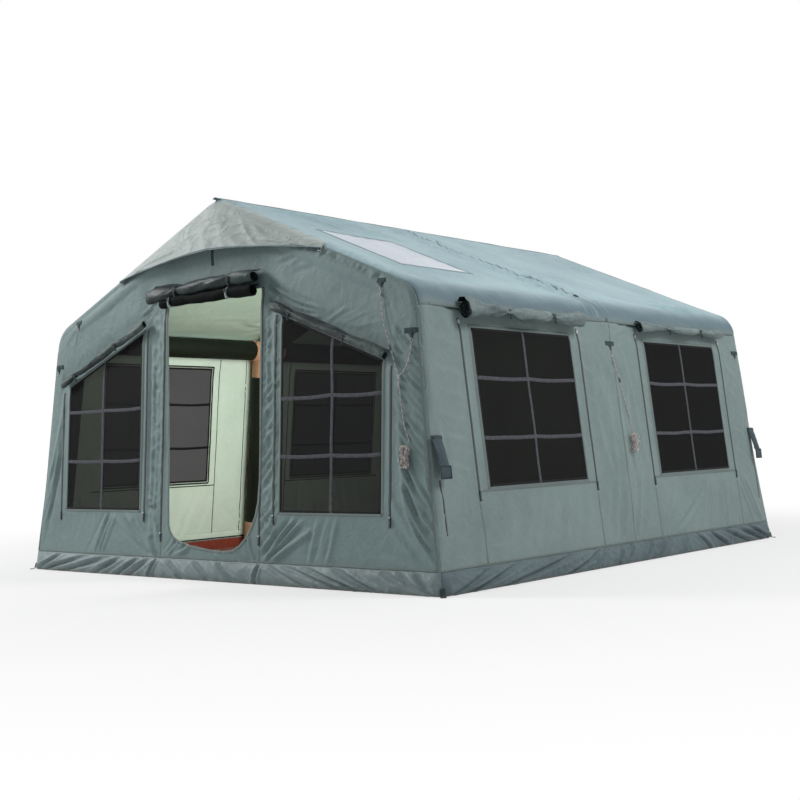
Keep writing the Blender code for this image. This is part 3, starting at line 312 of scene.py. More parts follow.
# Rows of folds, each with its seed. pleats: starts and ends as two lines, count, width, depth, bow, fade;
# patch: box, angle, pitch, stretch, depth, edge; fan: point, toward, spread, reach, count, depth.
wallFolds = {
    "front": [
        # the slack right margin, pulled from the eave and the rolled cover down to the base corner
        (pleats, 3, (1.6, 1.62, 1.65, 0.98), (1.86, 1.4, 1.9, 0.7), 15, 0.012, 0.017, 0.014, 3),
        (pleats, 11, (1.645, 0.98, 1.7, 0.52), (1.93, 0.52, 1.95, 0.17), 9, 0.014, 0.022, 0.03, 4),
        (pleats, 12, (1.84, 1.1, 1.91, 0.2), (1.92, 0.96, 1.985, 0.12), 14, 0.009, 0.01),
        (patch, 5, (1.58, 1.36, 1.8, 1.62), -30, 0.034, 0.12, 0.005, 0.05),
        (pleats, 14, (1.56, 0.7, 1.5, 0.14), (1.9, 0.22, 1.8, 0.13), 3, 0.022, 0.009),
        (pleats, 13, (-1.66, 1.36, -1.72, 0.8), (-1.9, 0.6, -1.93, 0.15), 5, 0.016, 0.012, -0.02),
        # crumpled strips between the door and its windows
        (pleats, 21, (0.49, 0.18, 0.5, 1.28), (0.655, 0.36, 0.655, 1.46), 13, 0.014, 0.01, 0.01),
        (patch, 22, (0.48, 0.3, 0.66, 1.9), 52, 0.045, 0.08, 0.012, 0.03),
        (pleats, 25, (0.5, 1.15, 0.62, 1.15), (0.51, 1.92, 0.6, 1.88), 2, 0.017, 0.008),
        (pleats, 23, (-0.655, 0.22, -0.5, 0.22), (-0.66, 1.93, -0.51, 1.93), 3, 0.018, 0.007, 0.006),
        (patch, 24, (-0.66, 0.25, -0.49, 1.9), 118, 0.045, 0.09, 0.013, 0.03),
        (pleats, 26, (-0.52, 0.16, -0.53, 0.4), (-0.66, 0.42, -0.66, 0.7), 4, 0.012, 0.012),
        # pulled folds under the windows, spreading from the foot of each door zip
        (pleats, 31, (0.51, 0.15, 0.57, 0.13), (0.8, 0.47, 1.06, 0.38), 4, 0.017, 0.019),
        (pleats, 32, (0.9, 0.14, 1.14, 0.14), (1.0, 0.46, 1.22, 0.46), 4, 0.015, 0.009),
        (pleats, 33, (-0.52, 0.15, -0.56, 0.13), (-0.8, 0.5, -1.08, 0.44), 4, 0.018, 0.018),
        (pleats, 34, (-1.36, 0.14, -1.14, 0.14), (-1.14, 0.47, -0.98, 0.47), 4, 0.015, 0.012),
        (pleats, 35, (-0.47, 0.16, -0.4, 0.13), (-0.36, 0.29, -0.16, 0.23), 4, 0.012, 0.013),
        (pleats, 36, (0.47, 0.15, 0.2, 0.13), (0.4, 0.36, 0.02, 0.19), 5, 0.012, 0.012, -0.02),
        # from the ends of the door roll, and along the heads of the windows
        (pleats, 41, (0.47, 2.03, 0.5, 1.86), (1.16, 1.72, 0.9, 1.69), 6, 0.01, 0.026, 0.05, 2.2),
        (pleats, 48, (0.86, 2.26, 1.58, 1.94), (0.78, 2.12, 1.46, 1.8), 14, 0.015, 0.008, 0.02),
        (patch, 49, (0.7, 1.98, 1.2, 2.3), -24, 0.045, 0.16, 0.006, 0.05),
        (pleats, 42, (-0.6, 2.0, -0.6, 1.86), (-0.86, 1.86, -0.74, 1.72), 5, 0.009, 0.008, -0.01, 2.2),
        (pleats, 43, (1.02, 1.66, 1.3, 1.6), (1.22, 1.76, 1.58, 1.6), 5, 0.012, 0.006),
        (pleats, 47, (-1.0, 1.7, -1.5, 1.5), (-1.14, 1.82, -1.66, 1.62), 6, 0.012, 0.006),
        (fan, 44, (1.52, 1.87), -70, 60, 0.34, 5, 0.008),
        (fan, 45, (-1.52, 1.87), 250, 60, 0.34, 5, 0.008),
        (pleats, 46, (0.95, 2.17, 1.2, 2.1), (0.55, 2.1, 0.8, 1.98), 4, 0.017, 0.007),
    ],
    "right": [
        (pleats, 51, (-2.02, 1.56, -2.08, 0.72), (-1.74, 1.5, -1.75, 0.62), 6, 0.022, 0.004),
        (pleats, 52, (-2.13, 0.62, -2.16, 0.16), (-2.08, 0.56, -2.1, 0.12), 6, 0.01, 0.004),
        (pleats, 54, (-1.98, 0.14, -0.6, 0.14), (-1.74, 0.56, -0.5, 0.56), 6, 0.042, 0.006, 0.02),
        (pleats, 55, (-0.36, 0.14, 0.26, 0.14), (-0.26, 0.62, 0.46, 0.66), 4, 0.03, 0.008),
        (pleats, 56, (0.34, 0.14, 0.62, 0.14), (0.7, 0.57, 1.3, 0.5), 5, 0.02, 0.01, 0.02),
        (pleats, 57, (0.9, 0.14, 1.56, 0.14), (1.1, 0.56, 1.7, 0.56), 4, 0.034, 0.007),
        (pleats, 58, (2.1, 0.14, 1.92, 0.14), (1.82, 0.62, 1.74, 0.48), 4, 0.018, 0.01),
        (fan, 59, (0.0, 1.53), 270, 75, 0.42, 5, 0.009),
        (fan, 60, (0.0, 1.58), 90, 80, 0.26, 5, 0.009),
        (pleats, 61, (0.06, 1.5, 0.14, 1.68), (0.34, 1.58, 0.3, 1.72), 5, 0.011, 0.009),
        (patch, 62, (-0.36, 0.6, 0.34, 1.5), 98, 0.14, 0.8, 0.011, 0.1),
        (pleats, 63, (1.78, 0.7, 1.8, 1.5), (2.06, 0.6, 2.02, 1.4), 5, 0.02, 0.005),
        (pleats, 64, (-0.46, 0.75, -0.46, 1.55), (-0.24, 0.68, -0.22, 1.5), 4, 0.018, 0.004),
    ],
    "left": [
        (pleats, 71, (-2.0, 0.14, -1.7, 0.14), (-1.9, 0.6, -1.72, 0.5), 4, 0.02, 0.011),
        (pleats, 72, (-1.56, 0.14, -0.6, 0.14), (-1.4, 0.56, -0.5, 0.56), 7, 0.022, 0.009),
        (fan, 73, (0.0, 0.04), 90, 60, 0.7, 6, 0.01),
        (pleats, 74, (0.56, 0.14, 1.6, 0.14), (0.44, 0.56, 1.5, 0.56), 8, 0.022, 0.01),
        (pleats, 75, (1.72, 0.14, 2.1, 0.14), (1.8, 0.62, 2.06, 0.62), 5, 0.018, 0.011),
        (fan, 76, (0.0, 1.53), 270, 75, 0.38, 5, 0.008),
    ],
    "back": [
        (pleats, 81, (-1.92, 0.14, -1.1, 0.14), (-1.3, 1.3, -0.95, 0.7), 4, 0.026, 0.01, 0.05),
        (pleats, 82, (1.92, 0.14, 1.1, 0.14), (1.4, 1.25, 0.95, 0.75), 4, 0.026, 0.01, 0.04),
        (pleats, 83, (-0.7, 0.14, 0.7, 0.14), (-0.5, 0.9, 0.5, 0.8), 9, 0.026, 0.012),
        (pleats, 84, (-0.3, 2.25, 0.3, 2.25), (-1.3, 1.5, 1.3, 1.5), 9, 0.026, 0.013),
        (patch, 85, (-1.9, 0.4, 1.9, 1.9), 86, 0.22, 1.2, 0.01, 0.3),
    ],
}
tubes = {"inset": 0.1053, "radius": 0.0985, "skin": 0.0048}
wallCalm = {"window": 0.25, "windowFade": 0.03, "zip": 0.35, "zipFade": 0.03, "edgeFade": 0.05, "most": 0.020,
            "least": -0.034, "under": 0.0018, "fade": 0.10, "rise": 0.035}
restingCords = {
    "front": [((1.52, 1.80), (1.608, 1.45), (1.668, 1.26), (1.73, 0.90)), ((1.76, 1.48), (1.668, 1.26)),
              ((1.73, 0.88), (1.73, 0.72))],
    "right": [((0.0, 1.50), (0.06, 1.28), (0.14, 0.92)), ((0.14, 0.91), (0.14, 0.75))],
}


# the port flaps' places along the right wall
flapPlaces = [place * (halfY - 0.105) for place in (-1, 1)]


def restsOn(side):
    # what lies on a wall, as (one end, other end, reach, how far it presses the cloth in)
    lines = [(a, b, 0.006, 0.0) for route in restingCords.get(side, ()) for a, b in zip(route, route[1:])]
    for place in (-1, 1) if side in sideWalls else ():
        a, b = rollEnds(side, place, rolls["overhang"])
        lines.append(((a, rolls["sideHeight"]), (b, rolls["sideHeight"]), rolls["sideRadius"], 0.010))
    if side == "front":
        lines += [(*endRoll(hand, 0.0), rolls["endRadius"], 0.010) for hand in (-1, 1)]
        left, right, high = doorRoll
        lines.append(((left, high), (right, high), 2 * rolls["doorRadius"], 0.010))
    if side == "right":
        lines += [((u, 0.92), (u, 0.70), 0.05, 0.010) for u in flapPlaces]
    return lines


def heldOut(relief, *distances, radius=tubes["radius"]):
    # cloth lies no deeper than the air tubes behind it
    for d in distances:
        lowest = tubes["skin"] - tubes["inset"] + np.sqrt(np.maximum(radius ** 2 - d ** 2, 0))
        relief = np.where(np.abs(d) < radius, np.maximum(relief, lowest), relief)
    return relief


def wallRelief(side, u, v, edge):
    # how far the cloth stands out of its wall's plane
    if side in endWalls:
        bay = -0.014 * soft((1.9 - np.abs(u)) / 0.7) * soft((v - 0.1) / 0.8)
    else:
        bay = -0.012 * np.abs(np.sin(np.clip(u / 2.1, -1, 1) * math.pi)) * soft((v - 0.1) / 0.6)
        bay = bay + 0.007 * np.exp(-(u / 0.10) ** 2) * soft((v - 0.15) / 0.3)
    total = bay + 0.0035 * noise(u * 2.6, v * 2.2, 101) + 0.0013 * noise(u * 8, v * 8, 102)
    total = total + 0.0016 * creases(u * 9 + v * 3, v * 7 - u * 2, 103)
    for kind, *sizes in wallFolds[side]:
        total = total + kind(u, v, *sizes)
    c = wallCalm
    calm, most = np.ones(np.shape(u)), np.full(np.shape(u), c["most"])
    for k, outline in enumerate(holesOf(side)):
        least = 0.6 if side == "front" and k == 0 else c["window"]  # the doorway's edge stays slack
        far = outsideOf(u, v, wallLine(side, outline))
        calm = np.minimum(calm, least + (1 - least) * soft(far / c["windowFade"]))
    for a, low, high in zipLines(side):
        near = distanceToLine(u, v, (a, upWall(side, low)), (a, upWall(side, high)))
        free = soft((near - 0.008) / c["zipFade"])
        calm = np.minimum(calm, c["zip"] + (1 - c["zip"]) * free)
        most = np.minimum(most, c["under"] + c["most"] * free)
    total = total * calm
    for a, b, reach, sink in restsOn(side):
        near = distanceToLine(u, v, a, b) - reach
        total = total - sink * (1 - soft(near / c["fade"]))
        most = np.minimum(most, (0.0035 if sink == 0 else c["under"]) + c["most"] * soft(near / c["rise"]))
    low = soft((v - upWall(side, tent["skirt"])) / 0.06)
    most = np.minimum(most, c["under"] + c["most"] * low)
    total = np.clip(total, -0.003 + (c["least"] + 0.003) * low, most)
    return heldOut(total, edge - tubes["inset"], u if side in sideWalls else edge * 0 + 9)


edgeRound = {"corner": 0.065, "foot": 0.018, "rise": 0.7}


def gableEdge(x, z):
    # distance in from an end wall's outline and the outline's normal there
    ax = np.abs(x)
    cx, cz = shoulderCentre()
    out = np.hypot(ax - cx, z - cz)
    angle = np.arctan2(z - cz, ax - cx)
    wall = (wallX(z) - ax) * math.cos(sideAngle)
    roof = (tent["ridge"] - ax * math.tan(roofAngle) - z) * math.cos(roofAngle)
    bend = (angle > sideAngle) & (angle < math.pi / 2 - roofAngle) & (out > 1e-6)
    far = np.maximum(out, 1e-6)

    def pick(onBend, onWall, onRoof):
        return np.where(bend, onBend, np.where(wall < roof, onWall, onRoof))

    return (np.maximum(pick(tent["shoulder"] - out, wall, roof), 0),
            pick((ax - cx) / far, math.cos(sideAngle), math.sin(roofAngle)) * np.sign(x),
            pick((z - cz) / far, math.sin(sideAngle), math.cos(roofAngle)))


def rounded(edge, radius, w):
    # near a rounded edge, a point w off the cloth: how far it moves outward and how far it stands off
    bend = np.clip(1 - edge / radius, 0, 1) * math.pi / 4
    return (np.where(edge < radius, edge - radius + radius * np.sin(bend), 0) + w * np.sin(bend),
            w * np.cos(bend) - radius * (1 - np.cos(bend)))


def onWall(side, u, v, off=0.0, flat=False):
    # points of a wall's cloth in the tent's frame, its edges rounded over the air tubes
    u, v = matched(u, v)
    height = v * math.cos(leanOf(side))
    if side in endWalls:
        edge, nu, nv = gableEdge(u, height)
    else:
        edge = np.maximum((endY(height) - np.abs(u)) * math.cos(endAngle), 0)
        nu, nv = np.sign(u), np.zeros(np.shape(u))
    relief = 0 if flat else wallRelief(side, u, v, edge) * soft(edge / wallCalm["edgeFade"])
    radius = edgeRound["foot"] + (edgeRound["corner"] - edgeRound["foot"]) * soft(height / edgeRound["rise"])
    move, lift = rounded(edge, radius, relief + off)
    return offPlane(side, u + nu * move, v + nv * move, lift)


def offPlane(side, u, v, off=0.0):
    # points off a wall's plain plane, from the metres across and up it
    origin, across, up, out = wallAxes(side)
    return origin + np.multiply.outer(u, across) + np.multiply.outer(v, up) + np.multiply.outer(off, out)


def flatOn(side, u, height, off=0.0):
    return offPlane(side, u, upWall(side, height), off)


# Mesh helpers

def linked(obj):
    bpy.context.scene.collection.objects.link(obj)
    return obj


def unit(vector):
    return vector / np.linalg.norm(vector)


def runOf(line):
    # the distance along a line at each of its points
    return np.concatenate(([0], np.cumsum(np.linalg.norm(np.diff(line, axis=0), axis=1))))


def asPoints(*parts):
    return np.stack(np.broadcast_arrays(*parts), axis=-1)


def overCloth(u, v, w=0.0):
    # metres over the cloth, which the materials read
    return asPoints(u, v, w).reshape(-1, 3)


def meshOf(name, points, faces, finish, cloth=None, slots=None, shade=True):
    # finish lists paints by name, or materials
    mesh = bpy.data.meshes.new(name)
    points = np.asarray(points, float).reshape(-1, 3)
    mesh.from_pydata([tuple(p) for p in points], [], [tuple(f) for f in faces])
    for paint in finish:
        mesh.materials.append(paints[paint] if isinstance(paint, str) else paint)
    if slots is not None:
        mesh.polygons.foreach_set("material_index", np.asarray(slots, np.int32))
    if cloth is not None:
        attribute = mesh.attributes.new("cloth", "FLOAT_VECTOR", "POINT")
        attribute.data.foreach_set("vector", np.asarray(cloth, np.float32).ravel())
    if shade:
        mesh.shade_smooth()
    mesh.validate()
    mesh.update()
    return linked(bpy.data.objects.new(name, mesh))


def applied(obj):
    # the mesh with its modifiers in it
    bpy.context.view_layer.update()
    graph = bpy.context.evaluated_depsgraph_get()
    mesh = bpy.data.meshes.new_from_object(obj.evaluated_get(graph))
    obj.modifiers.clear()
    old, obj.data = obj.data, mesh
    bpy.data.meshes.remove(old)
    return obj


def thicken(obj, thickness, inner=1, offset=-1):
    # a closed cloth: inner takes the next material
    made = obj.modifiers.new("thickness", "SOLIDIFY")
    made.thickness, made.offset, made.material_offset = thickness, offset, inner
    made.use_even_offset = False
    return applied(obj)


def joined(name, objs):
    # several meshes as one object, with their materials
    points, faces, slots, cloth, finish = [], [], [], [], []
    for obj in objs:
        start, data, places = len(points), obj.data, []
        for paint in data.materials:
            if paint not in finish:
                finish.append(paint)
            places.append(finish.index(paint))
        points += [tuple(obj.matrix_world @ v.co) for v in data.vertices]
        flow = np.zeros(len(data.vertices) * 3, np.float32)
        if "cloth" in data.attributes:
            data.attributes["cloth"].data.foreach_get("vector", flow)
        cloth.append(flow.reshape(-1, 3))
        for face in data.polygons:
            faces.append([start + i for i in face.vertices])
            slots.append(places[face.material_index])
        bpy.data.objects.remove(obj)
        bpy.data.meshes.remove(data)
    return meshOf(name, points, faces, finish, np.concatenate(cloth), slots)


def gridFaces(rows, columns, wrap=False):
    i, j = np.meshgrid(np.arange(rows - 1), np.arange(columns if wrap else columns - 1), indexing="ij")
    a, b = i * columns + j, i * columns + (j + 1) % columns
    return np.stack((a, b, b + columns, a + columns), axis=-1).reshape(-1, 4)


def flatCut(outline, holes, spacing):
    # a grid over a convex outline, cut to it and to its convex holes, as flat points and faces
    us, vs = zip(*outline)
    columns = max(2, round((max(us) - min(us)) / spacing) + 1)
    rows = max(2, round((max(vs) - min(vs)) / spacing) + 1)
    u, v = np.meshgrid(np.linspace(min(us), max(us), columns), np.linspace(min(vs), max(vs), rows))
    mesh = bpy.data.meshes.new("cut")
    mesh.from_pydata(overCloth(u, v).tolist(), [], gridFaces(rows, columns).tolist())
    bm = bmesh.new()
    bm.from_mesh(mesh)
    bpy.data.meshes.remove(mesh)

    def sides(points):
        for (u0, v0), (u1, v1) in pairs(points):
            if math.hypot(u1 - u0, v1 - v0) > 1e-6:
                yield Vector((u0, v0, 0)), Vector((v1 - v0, u0 - u1, 0)).normalized()

    def cut(parts, corner, normal, clear):
        return bmesh.ops.bisect_plane(bm, geom=parts, dist=1e-6, plane_co=corner, plane_no=normal,
                                      clear_outer=clear)["geom"]

    for corner, normal in sides(outline):
        cut(bm.verts[:] + bm.edges[:] + bm.faces[:], corner, normal, True)
    for hole in holes:
        low, high = (Vector(far(p) + step for p in zip(*hole))
                     for far, step in ((min, -spacing), (max, spacing)))
        inside = [f for f in bm.faces if low.x < f.calc_center_median().x < high.x
                  and low.y < f.calc_center_median().y < high.y]
        for corner, normal in sides(hole):
            parts = inside + list({e for f in inside for e in f.edges})
            parts += list({p for f in inside for p in f.verts})
            inside = [f for f in cut(parts, corner, normal, False) if isinstance(f, bmesh.types.BMFace)
                      and (f.calc_center_median() - corner).dot(normal) < 0]
        bmesh.ops.delete(bm, geom=inside, context="FACES")
    bmesh.ops.remove_doubles(bm, verts=bm.verts, dist=1e-5)
    bmesh.ops.delete(bm, geom=[p for p in bm.verts if not p.link_faces], context="VERTS")
    bm.verts.index_update()
    points = np.array([p.co[:2] for p in bm.verts])
    faces = [[p.index for p in f.verts] for f in bm.faces]
    bm.free()
    return points, faces


def smoothLine(route, spacing):
    # even steps on a smooth curve through the route
    route = np.asarray(route, float)
    ends = np.vstack((2 * route[0] - route[1], route, 2 * route[-1] - route[-2]))
    fine = []
    for a, b, c, d in zip(ends, ends[1:], ends[2:], ends[3:]):
        for t in np.arange(20) / 20:
            fine.append(0.5 * (2 * b + (c - a) * t + (2 * a - 5 * b + 4 * c - d) * t ** 2
                               + (3 * b - a - 3 * c + d) * t ** 3))
    return evenSteps(np.array([*fine, route[-1]]), spacing)


def evenSteps(line, spacing):
    run = runOf(line)
    at = np.linspace(0, run[-1], max(2, round(run[-1] / spacing)) + 1)
    return np.stack([np.interp(at, run, line[:, k]) for k in range(line.shape[1])], axis=-1)


def headings(line):
    # the direction at each point of a line
    steps = np.gradient(line, axis=0)
    return steps / np.linalg.norm(steps, axis=1)[:, None]


def sweep(name, line, radius, sides, *finish, cap=True, slots=None):
    # a closed tube along a line; radius is a number, or one per point and side
    line = np.asarray(line, float)
    count = len(line)
    tangents = headings(line)
    side = np.cross(tangents[0], (0, 0, 1))
    side, a = unit(side if np.linalg.norm(side) >= 1e-3 else np.cross(tangents[0], (0, 1, 0))), []
    for tangent in tangents:
        side = unit(side - tangent * side.dot(tangent))
        a.append(side)
    a, b = np.array(a), np.cross(tangents, a)
    angle = np.linspace(0, circle, sides, endpoint=False)
    size = np.broadcast_to(radius, (count, sides))
    ring = (line[:, None] + a[:, None] * (np.cos(angle) * size)[..., None]
            + b[:, None] * (np.sin(angle) * size)[..., None])
    cloth = overCloth(runOf(line)[:, None], (angle * np.mean(size))[None], angle[None])
    faces = [list(f) for f in gridFaces(count, sides, wrap=True)]
    faceSlots = [0] * len(faces) if slots is None else list(np.repeat(slots, sides))
    if cap:
        faces += [list(range(sides))[::-1], list(range((count - 1) * sides, count * sides))]
        faceSlots += [faceSlots[0], faceSlots[-1]]
    return meshOf(name, ring, faces, finish, cloth, faceSlots)


def strapAlong(line, across, width, thick, paint, name="strap"):
    # a flat strap whose width lies along one direction
    side = np.array((-1, 0, 1)) * width / 2
    points = np.asarray(line)[:, None] + across * side[:, None]
    cloth = overCloth(runOf(line)[:, None], side[None])
    return thicken(meshOf(name, points, gridFaces(len(line), 3), [paint], cloth), thick, inner=0, offset=0)


def ribbon(place, path, width, thick, paint, sink=0.0015, rib=None, spacing=0.02):
    # a flat tape along a path of (a, b) on a surface; rib raises a coil along its middle
    path = evenSteps(np.asarray(path, float), spacing)
    normals = headings(path)[:, ::-1] * (-1, 1)
    half = width / 2
    profile = [(-half, -sink), (-half, thick * 0.5), (-half * 0.86, thick)]
    if rib:
        wide, high = rib
        profile += [(-wide / 2, thick), (-wide * 0.32, thick + high),
                    (wide * 0.32, thick + high), (wide / 2, thick)]
    profile += [(half * 0.86, thick), (half, thick * 0.5), (half, -sink)]
    t, w = np.array(profile).T
    spots = path[:, None] + normals[:, None] * t[None, :, None]
    points = place(spots[..., 0], spots[..., 1], np.broadcast_to(w, spots.shape[:2]))
    count, across = len(path), len(profile)
    faces = [list(f)[::-1] for f in gridFaces(count, across, wrap=True)]
    faces += [list(range(across)), list(range((count - 1) * across, count * across))[::-1]]
    return meshOf("ribbon", points, faces, [paint], overCloth(runOf(path)[:, None], t[None]))


# Materials

class Wire:
    # one output socket, with the maths on it
    def __init__(self, tree, socket):
        self.tree, self.socket = tree, socket

    def maths(self, operation, *values):
        return self.tree.node("ShaderNodeMath", {"operation": operation}, dict(enumerate(values)))

    def __add__(self, other):
        return self.maths("ADD", self, other)

    def __radd__(self, other):
        return self.maths("ADD", other, self)

    def __sub__(self, other):
        return self.maths("SUBTRACT", self, other)

    def __rsub__(self, other):
        return self.maths("SUBTRACT", other, self)

    def __mul__(self, other):
        return self.maths("MULTIPLY", self, other)

    def __rmul__(self, other):
        return self.maths("MULTIPLY", other, self)

    def __pow__(self, other):
        return self.maths("POWER", self, other)

    def __rpow__(self, other):
        return self.maths("POWER", other, self)

    def __abs__(self):
        return self.maths("ABSOLUTE", self)

    def sine(self):
        return self.maths("SINE", self)

    def wave(self, period):
        return (self * (circle / period)).sine()

    def over(self, edge, width):
        # 0 below an edge, 1 a little above it
        return self.tree.node("ShaderNodeMapRange", {"interpolation_type": "SMOOTHSTEP"},
                              {"Value": self, "From Min": edge, "From Max": edge + width})


class Tree:
    # nodes under construction
    def __init__(self, nodeTree):
        self.nodes, self.links = nodeTree.nodes, nodeTree.links

    def node(self, kind, settings=None, sockets=None, out=0):
        made = self.nodes.new(kind)
        for key, value in (settings or {}).items():
            setattr(made, key, value)
        for key, value in (sockets or {}).items():
            self.plug(made.inputs[key], value)
        return Wire(self, made.outputs[out])

    def plug(self, socket, value):
        if isinstance(value, Wire):
            self.links.new(value.socket, socket)
        else:
            socket.default_value = value

    def seen(self):
        # 1 where the camera looks, also by reflection or through a clear piece
        rays = [self.node("ShaderNodeLightPath", out=f"Is {ray} Ray")
                for ray in ("Camera", "Glossy", "Transmission")]
        return rays[0].maths("MINIMUM", rays[0] + rays[1] + rays[2], 1.0)

    def blend(self, output, share, first, second):
        # two shaders, the second by its share
        self.plug(output, self.node("ShaderNodeMixShader", {}, {0: share, 1: first, 2: second}))


class Paint(Tree):
    # a material under construction
    def __init__(self, name):
        self.material = bpy.data.materials.new(name)
        self.material.use_nodes = True
        super().__init__(self.material.node_tree)
        self.shader = self.nodes["Principled BSDF"]

    def mix(self, share, first, second):
        return self.node("ShaderNodeMix", {"data_type": "RGBA"}, {0: share, 6: first, 7: second}, 2)

    def spread(self, vector, scale):
        return self.node("ShaderNodeVectorMath", {"operation": "MULTIPLY"}, {0: vector, 1: scale})

    def cloth(self):
        # metres over the cloth, whole and as three numbers
        place = self.node("ShaderNodeAttribute", {"attribute_name": "cloth"}, out=1)
        return place, *self.apart(place)

    def room(self):
        return self.node("ShaderNodeTexCoord", out=3)

    def apart(self, vector):
        return [self.node("ShaderNodeSeparateXYZ", {}, {0: vector}, axis) for axis in range(3)]

    def noise(self, vector, scale, detail=2.0, rough=0.5, distortion=0.0):
        return self.node("ShaderNodeTexNoise", {}, {"Vector": vector, "Scale": scale, "Detail": detail,
                                                    "Roughness": rough, "Distortion": distortion})

    def finish(self, **sockets):
        # sockets by name, with spaces left out
        names = {socket.name.replace(" ", ""): socket for socket in self.shader.inputs}
        for key, value in sockets.items():
            self.plug(names[key], value)
        return self.material

    def bumped(self, height):
        # height in metres
        return self.node("ShaderNodeBump", {}, {"Strength": 1.0, "Distance": 1.0, "Height": height})


def rgb(*seen):
    # a colour as seen on a screen, 0 to 255
    shares = (s / 255 for s in seen)
    return (*(v / 12.92 if v <= 0.04045 else ((v + 0.055) / 1.055) ** 2.4 for v in shares), 1.0)


def clothPaint(name, light, dark, weave=0.0016, rough=0.62, gloss=0.32, sheen=0.08, depth=0.0016,
               sharp=0.0010, crumple=11.0, stretch=(1.0, 1.0, 1.0), start=0.25, foot=None, low=()):
    # coated woven cloth: colour drifts with dust and light wear, creases and weave in the bump
    paint = Paint(name)
    place, x, y, _ = paint.cloth()
    drift, fine = paint.noise(place, 1.6, 3), paint.noise(place, 90, 2)
    ridge = abs(paint.noise(paint.spread(place, stretch), crumple, 4, 0.55, 0.6) - 0.5) * 2
    crease, woven = (1 - ridge) ** 6, x.wave(weave) * y.wave(weave)
    share = drift * 0.7 + fine * 0.3 + crease * 0.10 + woven * 0.05
    colour = paint.mix(share.over(start, 0.5), rgb(*dark), rgb(*light))
    if foot:  # dust that has risen from the ground
        height, tint = foot
        dust = (1 - y.over(0.0, height)) * (drift * 0.8 + fine * 0.5).over(0.35, 0.4) * 0.55
        colour = paint.mix(dust, colour, rgb(*tint))
    if low:  # painted shade: the colour darkens by height toward the cloth's lower edge
        z = paint.apart(paint.room())[2] + (paint.noise(place, 2.6, 3) - 0.5) * 0.11
        for first, last, tint in low:
            colour = paint.mix(z.over(first, last - first), rgb(*tint), colour)
    return paint.finish(BaseColor=colour, Roughness=rough + (fine - 0.5) * 0.18,
                        Normal=paint.bumped((1 - ridge) * depth + crease * sharp + woven * 0.00006),
                        SheenWeight=sheen, SheenRoughness=0.45, SpecularIORLevel=gloss)


paints = {
    "wall": clothPaint("wall_cloth", (127, 147, 146), (108, 127, 127), foot=(0.22, (118, 132, 128))),
    # painted light: the side walls take a lighter copy of the wall cloth
    "side": clothPaint("side_wall_cloth", (134, 152, 150), (116, 134, 132), foot=(0.22, (122, 134, 128))),
    "skirt": clothPaint("skirt_cloth", (138, 153, 154), (106, 122, 124), 0.0022, 0.52, depth=0.0014,
                        crumple=8.0, foot=(0.05, (112, 116, 110))),
    # painted shade: the side skirts take a darker copy of the skirt cloth
    "sideSkirt": clothPaint("side_skirt_cloth", (108, 124, 127), (78, 94, 101), 0.0022, 0.56, 0.20,
                            depth=0.0012, crumple=8.0, foot=(0.05, (92, 100, 98))),
    # the roof's low bands are painted shade on the shoulder's lower part, down to the side seam
    "roof": clothPaint("roof_cloth", (173, 200, 206), (146, 175, 183), rough=0.52, gloss=0.22, sheen=0.04,
                       depth=0.0018, crumple=7.0,
                       low=((1.77, 1.93, (100, 121, 130)), (1.70, 1.76, (116, 134, 135)))),
    "visor": clothPaint("visor_cloth", (190, 200, 196), (158, 170, 166), rough=0.60, depth=0.0036,
                        sharp=0.003, crumple=7.0, stretch=(0.7, 1.5, 1.0)),
    "lining": clothPaint("lining_cloth", (216, 233, 220), (198, 216, 202), 0.0014, 0.75,
                         depth=0.0008, sharp=0.0004),
    "cover": clothPaint("cover_cloth", (138, 155, 153), (88, 103, 104), rough=0.52, depth=0.0008,
                        sharp=0.0006, crumple=7.0, start=0.34),
    "endCover": clothPaint("end_cover_cloth", (124, 142, 138), (42, 54, 53), rough=0.50, gloss=0.22,
                           crumple=12.0, start=0.44),
    "coverInner": clothPaint("cover_inner", (40, 46, 46), (24, 28, 29), rough=0.7, gloss=0.08, sheen=0.0,
                             depth=0.001),
    "doorCloth": clothPaint("door_cloth", (74, 92, 92), (17, 26, 27), rough=0.46, gloss=0.22, sheen=0.02,
                            depth=0.0018, start=0.38),
    "blackNet": clothPaint("black_net_roll", (22, 26, 27), (7, 9, 9), 0.0020, 0.75, 0.06, 0.0, depth=0.0014),
    "flap": clothPaint("flap_cloth", (70, 85, 92), (48, 62, 70), rough=0.60, gloss=0.15),
    # painted shade: a darker copy of the lining for the roof's inner side
    "roofLining": clothPaint("roof_lining_cloth", (182, 203, 187), (160, 183, 166), 0.0014, 0.75,
                             depth=0.0010, sharp=0.0006),
    "ground": clothPaint("ground_cloth", (140, 62, 46), (104, 44, 34), 0.0030, 0.55, depth=0.002,
                         sharp=0.0015),
    "tube": clothPaint("tube_cloth", (31, 38, 28), (19, 24, 17), 0.0018, 0.5, 0.12, 0.0, 0.0012, 0.0008, 14),
    "sleeve": clothPaint("sleeve_cloth", (205, 158, 128), (182, 132, 102), 0.0014, 0.6, depth=0.0010),
}


def webbingPaint(name, light, dark):
    # woven tape: ribs across it
    paint = Paint(name)
    place, x, y, _ = paint.cloth()
    rib, wear = x.wave(0.0022) * 0.5 + y.wave(0.0018) * 0.5, paint.noise(place, 40, 3)
    colour = paint.mix((wear + rib * 0.12).over(0.3, 0.4), rgb(*dark), rgb(*light))
    return paint.finish(BaseColor=colour, Roughness=0.6 + (wear - 0.5) * 0.2,
                        Normal=paint.bumped(rib * 0.00012), SpecularIORLevel=0.12)


